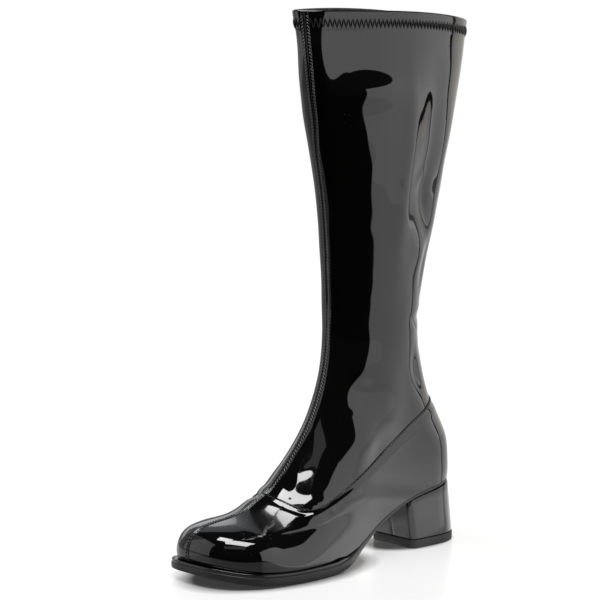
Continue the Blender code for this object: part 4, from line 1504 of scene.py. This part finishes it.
class BOOT_OT_stage(bpy.types.Operator):
    """Pale floor, studio panels, white surround and the camera"""
    bl_idname = "boot.stage"
    bl_label = "Stage"

    def execute(self, context):
        scene, stage = context.scene, context.scene.boot_stage
        scene.view_settings.view_transform = "Standard"
        look = (math.cos(stage.camera_turn), math.sin(stage.camera_turn))
        toward = Vector((-look[0], -look[1], 0.0))
        right = Vector((look[1], -look[0], 0.0))
        self.lay_floor(scene, stage, toward, right)
        self.set_panels(stage, toward, right)
        self.set_surround(scene)
        self.set_camera(scene, stage, look)
        return {"FINISHED"}

    def lay_floor(self, scene, stage, toward, right):
        """A glossy square round the boot and a plain frame round that."""
        mesh = bpy.data.meshes.new("floor")
        square = ((-1, -1), (1, -1), (1, 1), (-1, 1))
        corners = [(x * size, y * size, FLOOR_Z)
                   for size in (GLOSSY_HALF, stage.floor_reach) for x, y in square]
        border = [(k, 4 + k, 4 + (k + 1) % 4, (k + 1) % 4) for k in range(4)]
        mesh.from_pydata(corners, [], [(0, 1, 2, 3)] + border)
        mesh.materials.append(floor_sheet(stage, toward, right, "glossy_floor", FLOOR_GLOSS))
        mesh.materials.append(floor_sheet(stage, toward, right, "plain_floor", 0.0))
        mesh.polygons.foreach_set("material_index", [0, 1, 1, 1, 1])
        floor = bpy.data.objects.new("floor", mesh)
        scene.collection.objects.link(floor)

    def set_panels(self, stage, toward, right):
        """Studio panels: place, facing, way of the width, size, brightness and tint."""
        up = Vector((0.0, 0.0, 1.0))
        lean = math.radians(OVERHEAD_LEAN)
        front = toward * math.cos(lean) + right * math.sin(lean)
        side = right * math.cos(lean) - toward * math.sin(lean)

        def at(ahead, aside, high):
            """A place given from the boot towards the camera, to the right and up."""
            return toward * ahead + right * aside + up * high

        def over(ahead, aside):
            """A place above the boot, given along the turned directions."""
            return front * ahead + side * aside + up * OVERHEAD

        for name, middle, facing, across, size, brightness, tint in (
            ("right_panel", at(0.364, 1.20, 0.43), -right, toward, (1.846, 0.90), 1.0, WHITE),
            ("left_front_panel", at(0.165, -1.25, 0.62), right, -toward, (0.87, 1.3), 0.60, WHITE),
            ("left_panel", at(-0.885, -1.25, 0.62), right, -toward, (1.23, 1.3), 0.22, WHITE),
            ("back_left_panel", at(-1.50, -0.95, 0.20), toward, right, (1.9, 0.44), 0.20, WHITE),
            ("back_left_upper_panel", at(-1.50, -0.85, 0.67), toward, right, (2.1, 0.50), 1.0,
             COOL),
            ("back_right_panel", at(-1.50, 1.37, 0.50), toward, right, (2.74, 1.05), 0.72, WARM),
            ("back_wall", at(-1.52, 0.0, 1.35), toward, right, (3.2, 0.85), 0.30, COLD),
            ("front_card", at(0.80, -0.22, 0.90), at(-0.80, 0.22, -0.82), right, (0.88, 0.26), 0.35,
             WHITE),
            ("top_panel", over(0.548, 0.065), -up, side, (1.13, 0.496), OVERHEAD_BRIGHT, WHITE),
            ("left_over_panel", over(0.10, -0.53), -up, side * 0.9 + front * 0.44, (0.52, 0.50),
             OVERHEAD_BRIGHT, WHITE),
            ("over_panel", over(0.21, 0.10), -up, side, (1.15, 0.18), OVERHEAD_BRIGHT, WHITE),
        ):
            panel(name, middle, facing, across, size, brightness * stage.panel_power, tint)

    def set_surround(self, scene):
        """White to the camera, nearly black in reflections."""
        world = bpy.data.worlds.new("white_surround")
        scene.world = world
        world.use_nodes = True
        tree = world.node_tree
        seen = tree.nodes["Background"]
        seen.inputs[0].default_value = (*WHITE, 1.0)
        unseen = node(tree, "ShaderNodeBackground")
        unseen.inputs[0].default_value = SURROUND
        ray = node(tree, "ShaderNodeLightPath")
        mix = node(tree, "ShaderNodeMixShader")
        tree.links.new(ray.outputs["Is Camera Ray"], mix.inputs[0])
        tree.links.new(unseen.outputs[0], mix.inputs[1])
        tree.links.new(seen.outputs[0], mix.inputs[2])
        tree.links.new(mix.outputs[0], tree.nodes["World Output"].inputs[0])

    def set_camera(self, scene, stage, look):
        """The camera at the photograph's viewing angle."""
        camera = bpy.data.cameras.new("photo_camera")
        camera.lens = stage.lens
        camera.sensor_width = 36.0
        camera.clip_start = 0.05
        thing = bpy.data.objects.new("photo_camera", camera)
        thing.location = stage.camera_place
        down = stage.camera_pitch
        ahead = Vector((look[0] * math.cos(down), look[1] * math.cos(down), -math.sin(down)))
        thing.rotation_euler = ahead.to_track_quat("-Z", "Y").to_euler()
        scene.collection.objects.link(thing)
        scene.camera = thing


STEPS = (BOOT_OT_stage, BOOT_OT_outsole, BOOT_OT_welt, BOOT_OT_heel, BOOT_OT_insole,
         BOOT_OT_upper, BOOT_OT_shaft, BOOT_OT_seams, BOOT_OT_stitches)


class BOOT_PT_sidebar(bpy.types.Panel):
    """Lists the boot's pieces and settings"""
    bl_idname = "BOOT_PT_sidebar"
    bl_label = "Patent Knee Boot"
    bl_space_type = "VIEW_3D"
    bl_region_type = "UI"
    bl_category = "Boot"

    def draw(self, context):
        layout, scene = self.layout, context.scene
        for group in (scene.boot_sizes, scene.boot_colours, scene.boot_stage):
            box = layout.box()
            for name in group.__annotations__:
                box.prop(group, name)
        for step in STEPS:
            layout.operator(step.bl_idname)


CLASSES = (BootSizes, BootColours, BootStage) + STEPS + (BOOT_PT_sidebar,)


def register():
    """Registers the settings, operators and panel."""
    for kind in CLASSES:
        bpy.utils.register_class(kind)
    bpy.types.Scene.boot_sizes = PointerProperty(type=BootSizes)
    bpy.types.Scene.boot_colours = PointerProperty(type=BootColours)
    bpy.types.Scene.boot_stage = PointerProperty(type=BootStage)


def unregister():
    """Takes them out again."""
    del bpy.types.Scene.boot_stage
    del bpy.types.Scene.boot_colours
    del bpy.types.Scene.boot_sizes
    for kind in reversed(CLASSES):
        bpy.utils.unregister_class(kind)


def main():
    """Builds the stage and every piece in order."""
    register()
    for thing in [o for o in bpy.data.objects if o.type in {"LIGHT", "CAMERA"} or o.name == "Cube"]:
        bpy.data.objects.remove(thing)
    for step in STEPS:
        group, name = step.bl_idname.split(".")
        getattr(getattr(bpy.ops, group), name)()
    bpy.context.view_layer.update()


if __name__ == "__main__":
    main()
